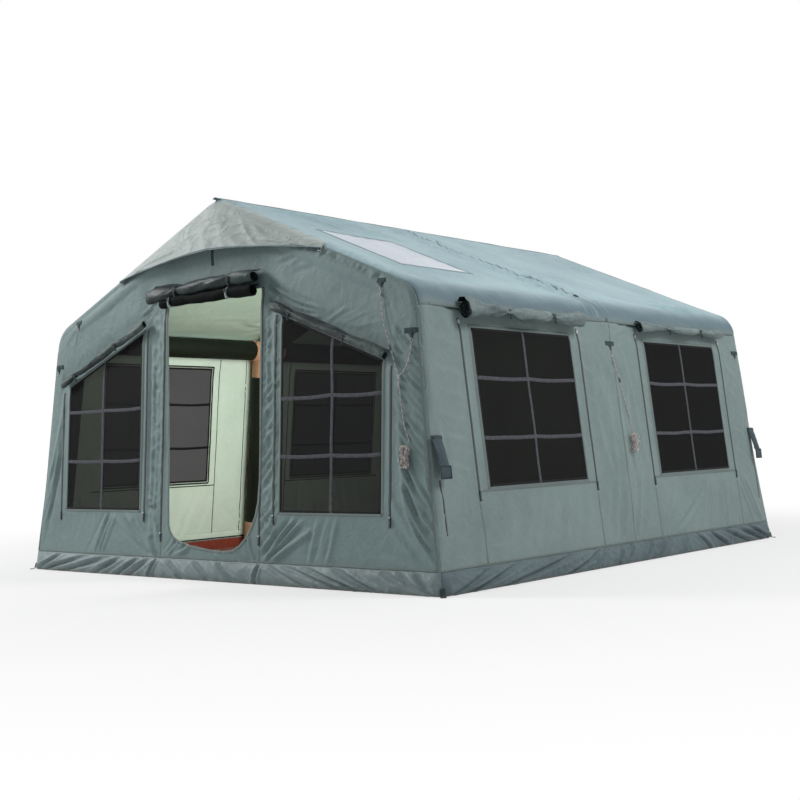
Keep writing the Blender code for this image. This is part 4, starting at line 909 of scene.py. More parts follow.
def seamPaint(name, light, dark):
    # a felled seam: two rows of stitches and a pucker between them
    paint = Paint(name)
    place, x, y, _ = paint.cloth()
    stitch = (1 - abs(abs(y) - 0.0045).over(0.0006, 0.0006)) * x.wave(0.0042).over(-0.2, 0.3)
    pucker = paint.noise(paint.spread(place, (60.0, 12.0, 1.0)), 1.0, 2)
    colour = paint.mix(stitch, paint.mix(pucker, rgb(*dark), rgb(*light)), rgb(72, 84, 82))
    return paint.finish(BaseColor=colour, Roughness=0.62 + (pucker - 0.5) * 0.2,
                        Normal=paint.bumped(pucker * 0.0012 + stitch * 0.0004))


def zipPaint():
    # dark tape with a moulded coil along its middle
    paint = Paint("zip_tape")
    place, x, y, _ = paint.cloth()
    coil, grain = 1 - abs(y).over(0.0024, 0.0006), paint.noise(place, 60, 2)
    tooth = x.wave(0.0024).over(-0.4, 0.8) * coil
    colour = paint.mix(tooth, paint.mix(grain, rgb(38, 46, 46), rgb(52, 62, 61)), rgb(70, 78, 78))
    return paint.finish(BaseColor=colour, Roughness=0.6 - coil * 0.22 + (grain - 0.5) * 0.1,
                        Normal=paint.bumped(tooth * 0.0006 + grain * 0.0002))


def netPaint(name, pitch, open, light, dark):
    # fine mesh: threads in two directions with open squares between them
    paint = Paint(name)
    place, x, y, _ = paint.cloth()
    thread, dust = x.wave(pitch) * y.wave(pitch), paint.noise(place, 3.0, 3)
    return paint.finish(BaseColor=paint.mix(dust, rgb(*dark), rgb(*light)),
                        Roughness=0.85 + (dust - 0.5) * 0.1,
                        Alpha=1.0 - abs(thread) * open + (dust - 0.5) * 0.02, SpecularIORLevel=0.12)


def ropePaint():
    # twisted off-white cord with a red fleck that winds round it
    paint = Paint("rope_yarn")
    place, x, _, turn = paint.cloth()
    strand = (turn * 3.0 + x * (circle / 0.010)).sine()
    fleck = (turn + x * (circle / 0.036)).sine().over(0.72, 0.12)
    dirt = paint.noise(place, 30, 3)
    colour = paint.mix(fleck, paint.mix(dirt, rgb(200, 203, 198), rgb(232, 234, 230)), rgb(168, 48, 70))
    return paint.finish(BaseColor=colour, Roughness=0.8 + (dirt - 0.5) * 0.1,
                        Normal=paint.bumped(strand * 0.0005))


def filmPaint():
    # clear roof film, hazy with fine creases
    paint = Paint("roof_film")
    place = paint.cloth()[0]
    haze = paint.noise(place, 2.4, 3)
    streak = paint.noise(paint.spread(place, (4.0, 26.0, 1.0)), 2.0, 4, 0.6, 0.8)
    crease = (1 - abs(streak - 0.5) * 2) ** 8
    colour = paint.mix((haze + crease * 0.5).over(0.3, 0.6), rgb(204, 219, 236), rgb(240, 246, 255))
    return paint.finish(BaseColor=colour, Roughness=0.26 + haze * 0.16, Alpha=0.84 + haze * 0.14,
                        Normal=paint.bumped(crease * 0.003 + streak * 0.002), SpecularIORLevel=0.6)


def hardwarePaint(name, light, dark, metal, rough):
    # worn, finely scratched metal or plastic
    paint = Paint(name)
    place = paint.room()
    wear, scratch = paint.noise(place, 60, 4), paint.noise(paint.spread(place, (20.0, 20.0, 160.0)), 3.0, 2)
    colour = paint.mix((wear + scratch * 0.3).over(0.45, 0.3), rgb(*dark), rgb(*light))
    return paint.finish(BaseColor=colour, Metallic=metal, Roughness=rough + (scratch - 0.5) * 0.2,
                        Normal=paint.bumped(scratch * 0.00008))


paints |= {
    "webbing": webbingPaint("dark_webbing", (68, 82, 84), (48, 60, 62)),
    "strap": webbingPaint("tie_strap", (52, 62, 61), (34, 42, 42)),
    "paleStrap": webbingPaint("pale_strap", (158, 172, 168), (112, 128, 126)),
    "bar": webbingPaint("net_bar", (92, 94, 101), (68, 70, 75)),
    "barInner": webbingPaint("net_bar_inner", (26, 26, 28), (14, 14, 15)),
    "seam": seamPaint("wall_seam", (122, 136, 133), (98, 112, 110)),
    "roofSeam": seamPaint("roof_seam", (146, 166, 171), (112, 132, 139)),
    "zip": zipPaint(),
    "net": netPaint("window_net", 0.0032, 0.17, (21, 22, 22), (12, 13, 13)),
    # partly painted shade: the side nets are a dark net, made darker and nearly shut to stand in for the
    # shaded room behind
    "sideNet": netPaint("side_window_net", 0.0028, 0.045, (16, 17, 17), (9, 10, 10)),
    "rope": ropePaint(),
    "film": filmPaint(),
    "pull": hardwarePaint("zip_metal", (96, 102, 104), (38, 42, 44), 0.55, 0.4),
    "buckle": hardwarePaint("moulded_buckle", (60, 66, 66), (26, 30, 30), 0.0, 0.45),
    "toggle": hardwarePaint("pale_toggle", (226, 224, 214), (176, 176, 168), 0.0, 0.5),
    "steel": hardwarePaint("steel_ring", (180, 182, 184), (110, 112, 116), 0.9, 0.35),
}


def dress(obj, slot, *nodes, body="tent"):
    # the piece rides on a body and stands for nodes, whose imported parts are hidden
    if nodes:
        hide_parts(*nodes)
    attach(obj, body)
    return obj


# Cords come first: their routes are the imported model's

rope = {"size": 0.005, "run": 0.09, "half": 0.020, "turns": 7, "step": 0.0056, "waist": 0.5, "perTurn": 48,
        "front": (1.730, 0.800), "middle": (0.140, 0.835), "anchorX": 1.52, "anchorZ": 1.885, "cornerX": 1.76,
        "tabHeight": 0.035, "tabDrop": 0.045, "tabTop": 1.56, "tabFromEnd": 0.19, "sides": 10, "thin": 0.0022}


def hankPath(side, spot, fanOut):
    halfRun, quarter = rope["run"] / 2, rope["perTurn"] // 6

    def width(v):
        return rope["half"] * (1 - rope["waist"] * (1 - (v / halfRun) ** 2))

    loop, points = [], []
    for hand, first, last in ((1, 0, -math.pi), (-1, math.pi, 0)):
        loop += [(hand * width(v), hand * v)
                 for v in (halfRun - rope["run"] * i / quarter for i in range(quarter))]
        loop += arcPoints(0, -hand * halfRun, rope["half"], first, last, 2 * quarter)[:-1]
    for i in range(rope["turns"] * len(loop) + 1):
        u, v = loop[i % len(loop)]
        lean = fanOut * math.sin(2.4 * i / len(loop))
        points.append((spot[0] + (u * math.cos(lean) + v * math.sin(lean)),
                       upWall(side, spot[1]) + (v * math.cos(lean) - u * math.sin(lean)),
                       rope["size"] / 2 + tent["fit"] + rope["step"] * i / len(loop)))
    return offPlane(side, *np.transpose(points))


def asCord(name, line, lay, *nodes):
    # the rope itself; what it gives back is handed the knots and ties that go with it, and does nothing with
    # them
    piece = dress(sweep(name, line, rope["size"] / 2, rope["sides"], "rope"), "rope", *nodes)

    def tell(extras):
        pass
    return tell


def wrapped(name, centre, axis, radius, turns):
    # cord wound round another cord, as at a knot
    axis = unit(axis)
    side = unit(np.cross(axis, (0, 0, 1.0)) if abs(axis[2]) < 0.9 else np.cross(axis, (0, 1.0, 0)))
    t = np.linspace(0, turns, turns * 14 + 1)
    line = (centre + np.outer(t * 0.0046 - turns * 0.0023, axis) + radius * np.outer(np.cos(t * circle), side)
            + radius * np.outer(np.sin(t * circle), np.cross(axis, side)))
    return sweep(name, line, rope["thin"], 8, "rope")


def sliderPiece(name, centre, along, out, half=0.017, wide=0.006, thick=0.0035, paint="buckle"):
    # a small moulded slider: a flat rounded bar
    along = unit(along)
    out = unit(out - along * out.dot(along))
    side = np.cross(along, out)
    outline = arcPoints(0, half - wide, wide, 0, math.pi, 8)
    outline += arcPoints(0, wide - half, wide, math.pi, circle, 8)
    bm = bmesh.new()
    rings = [[bm.verts.new(centre + side * (a * shrink) + along * (b * (0.94 + 0.06 * shrink))
                           + out * (depth + 0.004)) for a, b in outline]
             for depth, shrink in ((-thick, 0.8), (-thick * 0.5, 1.0), (thick * 0.5, 1.0), (thick, 0.8))]
    for low, high in zip(rings, rings[1:]):
        for (a, b), (c, d) in zip(pairs(low), pairs(high)):
            bm.faces.new((a, b, d, c))
    bm.faces.new(rings[0][::-1])
    bm.faces.new(rings[-1])
    bmesh.ops.recalc_face_normals(bm, faces=bm.faces)
    mesh = bpy.data.meshes.new(name)
    bm.to_mesh(mesh)
    bm.free()
    mesh.materials.append(paints[paint])
    mesh.shade_smooth()
    mesh.set_sharp_from_angle(angle=math.radians(50))
    return linked(bpy.data.objects.new(name, mesh))


def guyLine(word, side, fanOut, held, *spots):
    # a free stretch, its hank and the turns that tie the hank's waist, all of one cord
    _, across, up, out = wallAxes(side)
    hank = hankPath(side, rope[word], fanOut)
    free = [*(flatOn(side, *spot) for spot in spots), hank[0] + up * 0.04, hank[0]]
    line = np.vstack((smoothLine(free, 0.012)[:-1], hank))
    tell = asCord(f"guy_rope_{word}", line, "coiled", f"guy_line_{word}", f"guy_hank_{word}")
    depth = rope["turns"] * rope["step"]
    centre = flatOn(side, *rope[word], depth / 2 + 0.004)
    t = np.linspace(0, 4, 4 * 20 + 1)
    half, deep = rope["half"] * (1 - rope["waist"]) + 0.006, depth / 2 + 0.0045
    loop = (centre + np.outer(half * np.cos(t * circle), across) + np.outer(deep * np.sin(t * circle), out)
            + np.outer(t * 0.005 - 0.010, up))
    parts = [sweep("waist", loop, rope["thin"], 8, "rope")]
    for k, (du, dv) in enumerate(((0.030, -0.020), (-0.026, -0.034))):
        start = centre + out * (deep + 0.001) + up * (0.004 * k)
        tail = smoothLine([start, start + across * du * 0.5 + up * 0.006 + out * 0.004,
                           start + across * du + up * dv + out * 0.001], 0.006)
        parts.append(sweep("tail", tail, rope["thin"], 8, "rope"))
    # two half hitches where the cord meets its tab, and a slider on the free stretch
    tell([dress(joined(f"hank_tie_{word}", parts), "rope"),
          dress(wrapped(f"guy_knot_{word}", line[2], line[3] - line[1], 0.0052, 3), "rope"),
          dress(sliderPiece(f"guy_slider_{word}", free[held], free[held + 1] - free[held - 1], out),
                "zip_hardware")])


def guyLines():
    lie = rope["size"] / 2 + tent["fit"]
    high, low = (rope[top] - rope["tabHeight"] - rope["tabDrop"] for top in ("anchorZ", "tabTop"))
    join = (1.668, 1.268, 0.012)
    anchor, corner = rope["anchorX"], rope["cornerX"]
    guyLine("front", "front", 0.16, 3, (anchor, high - lie, lie), (anchor + 0.002, high - 0.05, 0.006),
            (1.552, 1.60, 0.009), (1.608, 1.45, 0.011), join, (1.690, 1.12, 0.010), (1.715, 0.98, 0.006))
    # the bridle from the corner's tab to the front line
    _, across, up, _ = wallAxes("front")
    spots = ((corner, low - lie, lie), (corner + 0.002, low - 0.035, 0.006), (1.754, 1.400, 0.008),
             (1.730, 1.335, 0.010), join)
    route = [flatOn("front", *spot) for spot in spots]
    route[-1] = route[-1] + across * (rope["size"] + 3 * tent["fit"]) + np.array((0, 0, 0.006))
    line = smoothLine(route, 0.012)
    knots = [wrapped("bridle_knot", line[-1] - np.array((0, 0, 0.004)), -up, 0.0055, 4),
             wrapped("bridle_slider", flatOn("front", 1.674, 1.225, 0.012), -up, 0.0055, 7)]
    tell = asCord("guy_bridle_front_rope", line, "hanging", "guy_bridle_front")
    tell([dress(knot, "rope") for knot in knots])
    guyLine("middle", "right", 0.55, 2, (0.0, low - lie, lie), (0.018, 1.42, 0.007), (0.060, 1.28, 0.009),
            (0.105, 1.13, 0.009), (0.140, 1.00, 0.006))


guyLines()
print("cords made")


# Walls: one closed cloth each, grey-green outside with a pale lining

wallCut = {"spacing": {"front": 0.013, "back": 0.022, "right": 0.0145, "left": 0.02}, "thick": 0.004}


def gableOutline():
    right = [(wallX(tent["skirt"]), tent["skirt"])] + shoulderArc(0, 12)
    return right + [(0, tent["ridge"])] + [(-x, z) for x, z in reversed(right)]


def sideOutline():
    low, high = tent["skirt"], shoulderArc(0, 2)[0][1]
    return [(-endY(low), low), (endY(low), low), (endY(high), high), (-endY(high), high)]


def areaOf(points):
    return abs(sum(a[0] * b[1] - b[0] * a[1] for a, b in pairs(points))) / 2


def spanOf(points):
    us, vs = zip(*points)
    return max(us) - min(us), max(vs) - min(vs)


def makeWalls():
    for side, spacing in wallCut["spacing"].items():
        outline = wallLine(side, gableOutline() if side in endWalls else sideOutline())
        holes = [wallLine(side, hole) for hole in holesOf(side)]
        flat, faces = flatCut(outline, holes, spacing)
        # the side walls' lighter paint is painted light
        piece = meshOf(f"{side}_wall_cloth", onWall(side, *flat.T), faces,
                       ["wall" if side in endWalls else "side", "lining"], overCloth(*flat.T))
        dress(thicken(piece, wallCut["thick"]), "wall_cloth", f"{side}_wall")
        spanOf(outline)
        areaOf(outline) - sum(areaOf(hole) for hole in holes)


def airTubes():
    # inflated tubes in dark sleeves, with pale reinforcing sleeves at the feet, elbows and beam ends
    s = {"tube": 0.095, "sleeve": 0.100, "foot": 0.24, "top": 1.50, "elbow": 0.14, "eave": 0.088,
         "ridge": 0.075, "bend": 0.12, "reach": 0.17, "sides": 36}
    inset = tent["cloth"] + tent["fit"] + s["sleeve"]
    floor = tent["groundCloth"] + tent["fit"]
    half = [(wallX(z, inset), z) for z in np.linspace(floor, s["top"], 60)]
    bend = shoulderArc(inset, 16)
    crown = arcPoints(0, roofZ(0, inset) - s["bend"] / math.cos(roofAngle), s["bend"],
                      math.pi / 2 - roofAngle, math.pi / 2, 6)
    rise = [(wallX(z, inset), z) for z in np.linspace(s["top"], bend[0][1], 5)[1:-1]]
    start, end = np.array(bend[-1]), np.array(crown[0])
    slope = [tuple(start + (end - start) * t) for t in np.linspace(0, 1, 60)[1:-1]]
    right = half + rise + bend + slope + crown
    whole = np.array(right + [(-x, z) for x, z in reversed(right[:-1])])
    run = runOf(whole)
    elbowLow, elbowHigh = run[len(half) - 1], run[len(half) + len(rise) + len(bend) - 1] + s["elbow"]
    total = run[-1]

    def tubeOf(name, x, y, z, size, *finish, slots=None):
        return sweep(name, asPoints(x, y, z), size, s["sides"], *finish, slots=slots)

    # the beams' axes, as (x, z, radius, name)
    x, z = shoulderArc(inset, 6)[3]
    beams = [(-x, z, s["eave"], "eave_beam_{}_left"), (x, z, s["eave"], "eave_beam_{}_right"),
             (0, roofZ(0, inset) - s["bend"] * (1 / math.cos(roofAngle) - 1), s["ridge"], "ridge_beam_{}")]
    around = np.cos(np.linspace(0, circle, s["sides"], endpoint=False))[None]
    at = np.unique(np.concatenate((np.linspace(0, total, 330), [s["foot"] - 0.001, s["foot"] + 0.001])))
    x, z = (np.interp(at, run, whole[:, k]) for k in (0, 1))
    edge = np.minimum(at, total - at)
    # 1 where a pale sleeve covers the tube
    elbow = soft((edge - elbowLow) / 0.006) * soft((elbowHigh - edge) / 0.006)
    pale = np.maximum(soft((s["foot"] - edge) / 0.006), elbow)
    bending = np.exp(-((edge - (elbowLow + elbowHigh - s["elbow"]) / 2) / 0.22) ** 2)[:, None]
    for place, word in ((-1, "front"), (0, "middle"), (1, "back")):
        wrinkle = creases(at[:, None] * 22, around * 1.3 + place, 201 + place, 3) * 0.0016
        size = (s["tube"] - 0.0035 + pale * (s["sleeve"] - s["tube"]))[:, None]
        size = size + wrinkle * (0.35 + 1.6 * bending)
        piece = tubeOf(f"air_frame_{word}", x, place * endY(z, inset), z, size, "tube", "sleeve",
                       slots=(0.5 * (pale[1:] + pale[:-1]) > 0.5).astype(int))
        for v in piece.data.vertices:  # the feet stand flat on the groundsheet
            v.co.z = max(v.co.z, floor)
        dress(piece, "air_tube", f"roof_arch_{word}", f"column_{word}_left", f"column_{word}_right")
        arms = []
        for bx, bz, radius, _ in beams:
            for toward in (-1, 1):
                if place != toward:
                    y = place * endY(bz, inset)
                    y = np.linspace(y, y + toward * s["reach"], 12)
                    arms.append(tubeOf("arm", bx, y, bz, radius + 0.0025, "sleeve"))
        dress(joined(f"elbow_sleeves_{word}", arms), "air_tube")
    for bx, bz, radius, name in beams:
        for place, word in ((-1, "front"), (1, "back")):
            first = place * (s["reach"] + tent["fit"])
            y = np.linspace(first, place * endY(bz, inset) - first, 90)
            size = radius - 0.002 + creases(y[:, None] * 16, around + bx, 211, 3) * 0.0012
            dress(tubeOf(name.format(word) + "_tube", bx, y, bz, size, "tube"), "air_tube", name.format(word))


airTubes()
makeWalls()
print("frame and walls made")


# Skirt: the ground band of heavier cloth, folded where it meets the ground

skirt = {"spacing": 0.010, "thick": 0.004, "depth": 0.024, "wide": 0.014, "stand": 0.007, "bulge": 0.019,
         "tab": 0.028, "seeds": {"front": (301, 1), "right": (302, 1), "back": (303, -1), "left": (304, -1)}}
# valleys of the slack skirt, each from its place at the foot to its place at the seam
skirtFolds = {
    "front": [(-1.97, -1.645), (-1.92, -1.29), (-1.70, -1.04), (-1.26, -0.92), (-0.99, -0.72),
              (-0.855, -0.61), (-0.62, -0.53), (-0.21, -0.44), (0.05, -0.15), (0.30, 0.08), (0.46, 0.50),
              (0.94, 0.56), (1.25, 0.69), (1.38, 0.86), (1.52, 1.15), (1.92, 1.53), (1.95, 1.66),
              (1.97, 1.80)],
    "right": [(-2.12, -1.675), (-1.97, -1.38), (-1.61, -0.70), (-0.92, -0.44), (-0.61, -0.40), (-0.31, -0.20),
              (-0.20, -0.06), (0.06, 0.21), (0.24, 0.40), (0.33, 0.50), (0.62, 0.74), (1.10, 0.90),
              (1.40, 1.10), (1.80, 1.33), (2.05, 1.56), (2.16, 1.78)],
}


def skirtRelief(side, u, v):
    seed, flip = skirt["seeds"][side]
    share = v / tent["skirt"]
    total = creases(u * 9 + share * 1.3, share * 1.4, seed + 1, 2.5) * skirt["depth"] * 0.30
    inside = soft((share + 0.10) * 4) * soft((1 - share) * 4)
    for k, (foot, seam) in enumerate(skirtFolds["front" if side in endWalls else "right"]):
        change = noise(np.array([1.7, 4.3, 7.9]) + k * 3.37, 0.4, seed)
        lean = flip * (seam - foot) / tent["skirt"]
        across = u - flip * foot - lean * v - 0.03 * lean / 4 * np.sin(share * math.pi) * (1 + change[0])
        t = across / math.hypot(1, lean) / (skirt["wide"] * (1 + 0.4 * change[1]))
        fold = 0.45 * np.exp(-(t - 1.7) ** 2) + 0.45 * np.exp(-(t + 1.7) ** 2) - np.exp(-t * t)
        total = total + skirt["depth"] * (1 + 0.5 * change[2]) * inside * fold
    hang = skirt["stand"] * (1 - share) + skirt["bulge"] * np.sin(np.clip(share, 0, 1) ** 0.8 * math.pi)
    return np.maximum(total + hang, 0.0012 + 0.002 * (1 - share))


def makeSkirt():
    strips = []
    for side in skirt["seeds"]:
        columns, rows = round((tent["width"] if side in endWalls else tent["length"]) / skirt["spacing"]), 16
        share, up = np.meshgrid(np.linspace(-1, 1, columns), np.linspace(0, 1, rows))
        height = up * (tent["skirt"] - 0.001)
        edge = wallX(height) if side in endWalls else endY(height)
        u, v = share * edge, upWall(side, 1) * height
        points = onWall(side, u, v, skirtRelief(side, u, v) * soft((edge - np.abs(u)) / 0.06), flat=True)
        points[..., 2] = np.maximum(points[..., 2], 0.0045)
        # the side skirts' darker paint is painted shade
        paint = "skirt" if side in endWalls else "sideSkirt"
        strips.append(meshOf("strip", points, gridFaces(rows, columns), [paint], overCloth(u, v)))
    piece = joined("skirt_cloth", strips)
    piece.data.materials.append(paints["ground"])  # the groundsheet turned up inside it
    bm = bmesh.new()
    bm.from_mesh(piece.data)
    bmesh.ops.remove_doubles(bm, verts=bm.verts, dist=0.004)
    bm.to_mesh(piece.data)
    bm.free()
    dress(thicken(piece, skirt["thick"]), "skirt_cloth", "skirt")
    out = (skirt["tab"] - tent["cloth"]) / math.sqrt(2)
    for i, (sx, sy) in enumerate(corners):
        centre = np.array((sx * (halfX + out), sy * (halfY + out), 0.0))
        away = np.array((sx, sy, 0)) / math.sqrt(2)
        # dark webbing, sewn over the corner's foot and folded out on the ground
        loop = [centre + away * far + np.array((0, 0, high)) for far, high in
                ((-0.031, 0.050), (-0.026, 0.034), (-0.020, 0.012), (-0.010, 0.005), (0.014, 0.004))]
        dress(strapAlong(smoothLine(loop, 0.004), np.array((-away[1], away[0], 0)), 0.034, 0.003, "webbing",
                         f"peg_tab_{i}"), "zip_hardware")


def groundSheet():
    x, y = wallX(0, 0.0109), endY(0, 0.0109)
    u, v = np.meshgrid(np.linspace(-x, x, 110), np.linspace(-y, y, 120))
    edge = np.minimum(x - np.abs(u), y - np.abs(v))
    z = (tent["groundCloth"] - 0.0012
         + (0.0012 * noise(u * 3, v * 3, 401) + 0.0010 * creases(u * 2.5, v * 2.5, 402)) * soft(edge / 0.2))
    points = asPoints(u, v, np.clip(z, 0.0022, 0.0042))
    piece = meshOf("ground_cloth_sheet", points, gridFaces(120, 110), ["ground"], overCloth(u, v))
    dress(thicken(piece, 0.002, inner=0), "groundsheet", "groundsheet")
    2 * x
    2 * y


groundSheet()
makeSkirt()
print("skirt and groundsheet made")


# Roof: each slope from the ridge over the shoulder to the side seam

roof = {"spacing": {1: 0.015, -1: 0.024}, "thick": 0.004, "round": 0.065, "edgeFade": 0.05, "reach": 2.2,
        "meanLength": 4.35, "film": {"front": -1.63, "back": -0.90, "top": 0.63, "bottom": 1.41}}
roofFolds = [
    # (across is Y, up is metres from the side seam): the seam over the middle arch, with its crumples
    (patch, 501, (-0.36, 0.0, 0.16, 2.1), 84, 0.085, 0.55, 0.012, 0.1),
    (patch, 502, (-0.4, 0.3, 0.3, 1.0), 35, 0.07, 0.35, 0.008, 0.12),
    (fan, 503, (-0.15, 0.42), 60, 60, 0.6, 5, 0.012),
    (pleats, 511, (-0.32, 0.25, -0.4, 2.0), (-0.02, 0.34, 0.0, 2.06), 20, 0.018, 0.013, 0.01),
    (pleats, 504, (1.12, 0.3, 1.2, 0.44), (1.66, 0.26, 1.8, 0.4), 4, 0.02, 0.02, 0.03),
    (patch, 505, (1.1, 0.2, 1.8, 0.46), 30, 0.05, 0.14, 0.01, 0.06),
    (pleats, 513, (1.6, 1.46, 1.76, 1.86), (2.1, 1.52, 2.14, 1.78), 6, 0.02, 0.016, 0.04),
    (pleats, 514, (-1.7, 2.06, -0.8, 2.06), (-1.3, 1.62, -0.55, 1.5), 9, 0.02, 0.013),
    (pleats, 515, (-2.19, 0.3, -2.19, 2.05), (-2.0, 0.42, -2.0, 1.98), 22, 0.016, 0.008, 0.01),
    (pleats, 516, (-0.6, 0.4, 0.3, 1.2), (0.3, 0.3, 1.3, 1.4), 6, 0.035, 0.01, 0.05),
    (fan, 506, (-2.05, 2.1), -25, 35, 1.2, 5, 0.01),
    (fan, 507, (-2.05, 0.35), 20, 45, 0.8, 5, 0.008),
    (fan, 508, (2.05, 0.3), 160, 45, 0.9, 5, 0.01),
    (patch, 509, (-2.0, 1.2, 2.0, 2.15), 20, 0.16, 1.1, 0.006, 0.2),
    (patch, 510, (-1.9, 0.25, 1.9, 0.75), 4, 0.1, 0.9, 0.006, 0.12),
]


def roofProfile():
    # the slope's outline from the seam to the ridge, as (run, x, z, normal x, normal z)
    points = shoulderArc(0, 24)
    x, z = points[-1]
    slope = [(x + (0.0 - x) * t, z + (tent["ridge"] - z) * t) for t in np.linspace(0, 1, 40)[1:]]
    p = np.array(points + slope)
    cx, cz = shoulderCentre()
    angle = np.minimum(np.arctan2(p[:, 1] - cz, p[:, 0] - cx), math.pi / 2 - roofAngle)
    return runOf(p), *p.T, np.cos(angle), np.sin(angle)


slopeRun, *slopeForm = roofProfile()
slopeTop = slopeRun[-1]
filmHole = [(roof["film"][end], slopeTop - roof["film"][level])
            for end, level in (("front", "bottom"), ("back", "bottom"), ("back", "top"), ("front", "top"))]


def roofRelief(hand, y, s, edge):
    bays = -0.022 * np.abs(np.sin(np.clip(y / 2.1, -1, 1) * math.pi))
    bays = bays * soft(s / 0.5) * soft((slopeTop - s) / 0.6)
    total = bays + 0.004 * noise(y * 2.2, s * 2.0 + 9 * hand, 511) + 0.0014 * noise(y * 7, s * 7, 512)
    for kind, seed, *sizes in roofFolds:
        total = total + kind(y, s, seed + (0 if hand > 0 else 40), *sizes)
    if hand > 0:
        total = total * (0.35 + 0.65 * soft(outsideOf(y, s, filmHole) / 0.12))
    total = total * soft(s / 0.06) * soft((slopeTop - s) / 0.10)
    return heldOut(heldOut(total, s - slopeRun[12], radius=0.0915), edge - tubes["inset"], y)


def roofEnds(z):
    low, eave = shoulderArc(0, 2)[0][1], endY(tent["eave"])
    top = halfY + tent["backReach"]
    return -endY(z), eave + (top - eave) * np.maximum(0, z - low) / (tent["ridge"] - low)


def onRoof(hand, y, s, off=0.0):
    # y is the place along the tent at its straight part; the ends follow the leaning gables
    y, s = matched(y, s)
    x, z, nx, nz = (np.interp(s, slopeRun, values) for values in slopeForm)
    front, back = roofEnds(z)
    reach = roof["reach"]
    place = np.where(y < 0, y + (front + reach) * soft((-y - 1.7) / 0.5),
                     y + (back - reach) * soft((y - 1.7) / 0.5))
    edge = np.maximum(np.minimum(place - front, back - place), 0)
    relief = roofRelief(hand, y, s, edge) * soft(edge / roof["edgeFade"])
    move, lift = rounded(edge, roof["round"], relief + off)
    return asPoints(hand * (x + nx * lift), place + move * np.sign(y), z + nz * lift)


def makeRoof():
    film, far = roof["film"], roof["reach"]
    whole = [(-far, 0), (far, 0), (far, slopeTop), (-far, slopeTop)]
    for hand, name in ((1, "right"), (-1, "left")):
        flat, faces = flatCut(whole, [filmHole] if hand > 0 else [], roof["spacing"][hand])
        # the roof's inner side takes the darker lining copy, painted shade
        piece = meshOf(f"roof_cloth_{name}", onRoof(hand, *flat.T), [f[::hand] for f in faces],
                       ["roof", "roofLining"], overCloth(*flat.T))
        dress(thicken(piece, roof["thick"]), "roof_cloth", f"roof_panel_{name}")
        roof["meanLength"] * slopeTop - (areaOf(filmHole) if hand > 0 else 0)
    flat, faces = flatCut(filmHole, [], 0.02)
    y, s = flat.T
    points = onRoof(1, y, s, -0.002 + 0.004 * creases(y * 9 + s * 4, s * 3, 521))
    piece = meshOf("skylight_film", points, faces, ["film"], overCloth(y, s))
    dress(thicken(piece, 0.0012, inner=0), "clear_film", "skylight")
    seams = []

    def sew(hand, path, width, thick, paint="roofSeam"):
        seams.append(ribbon(lambda y, s, off: onRoof(hand, y, s, off), path, width, thick, paint))

    grow = 0.014
    hem = [(y + dy * grow, s + ds * grow) for (y, s), (dy, ds) in zip(filmHole, corners)]
    for a, b in pairs(hem):
        sew(1, [a, b], 0.026, 0.0016)
    middle = [(-0.10 + 0.02 * math.sin(3.1 * s), s) for s in np.linspace(0.02, slopeTop - 0.02, 60)]
    sew(1, middle, 0.020, 0.0022)
    sew(-1, [(0.0, 0.02), (0.0, slopeTop - 0.02)], 0.020, 0.0022)
    for hand in (1, -1):
        sew(hand, [(-2.1, 0.012), (2.1, 0.012)], 0.014, 0.0010, "seam")
        sew(hand, [(2.16, 0.02), (2.16, slopeTop - 0.01)], 0.020, 0.0026)
    sew(1, [(-0.115, 0.285), (-0.07, 0.30)], 0.030, 0.008, "webbing")
    dress(joined("roof_seams", seams), "roof_cloth")
    # ridge: a folded band over the meeting edges
    y = np.linspace(-2.052, 2.205, 240)[:, None]
    x, z = np.array([(-0.022, -0.0105), (-0.020, -0.006), (-0.010, -0.0015), (0, 0.0025), (0.010, -0.0015),
                     (0.020, -0.006), (0.022, -0.0105)]).T
    z = tent["ridge"] + z + 0.004 * noise(y * 2.5, 0, 531)
    points = asPoints(x + 0.002 * noise(y * 6, 0, 532), y, z)
    faces = gridFaces(len(y), len(x))[:, ::-1]
    dress(meshOf("ridge_band", points, faces, ["roofSeam"], overCloth(y, x)), "roof_cloth")


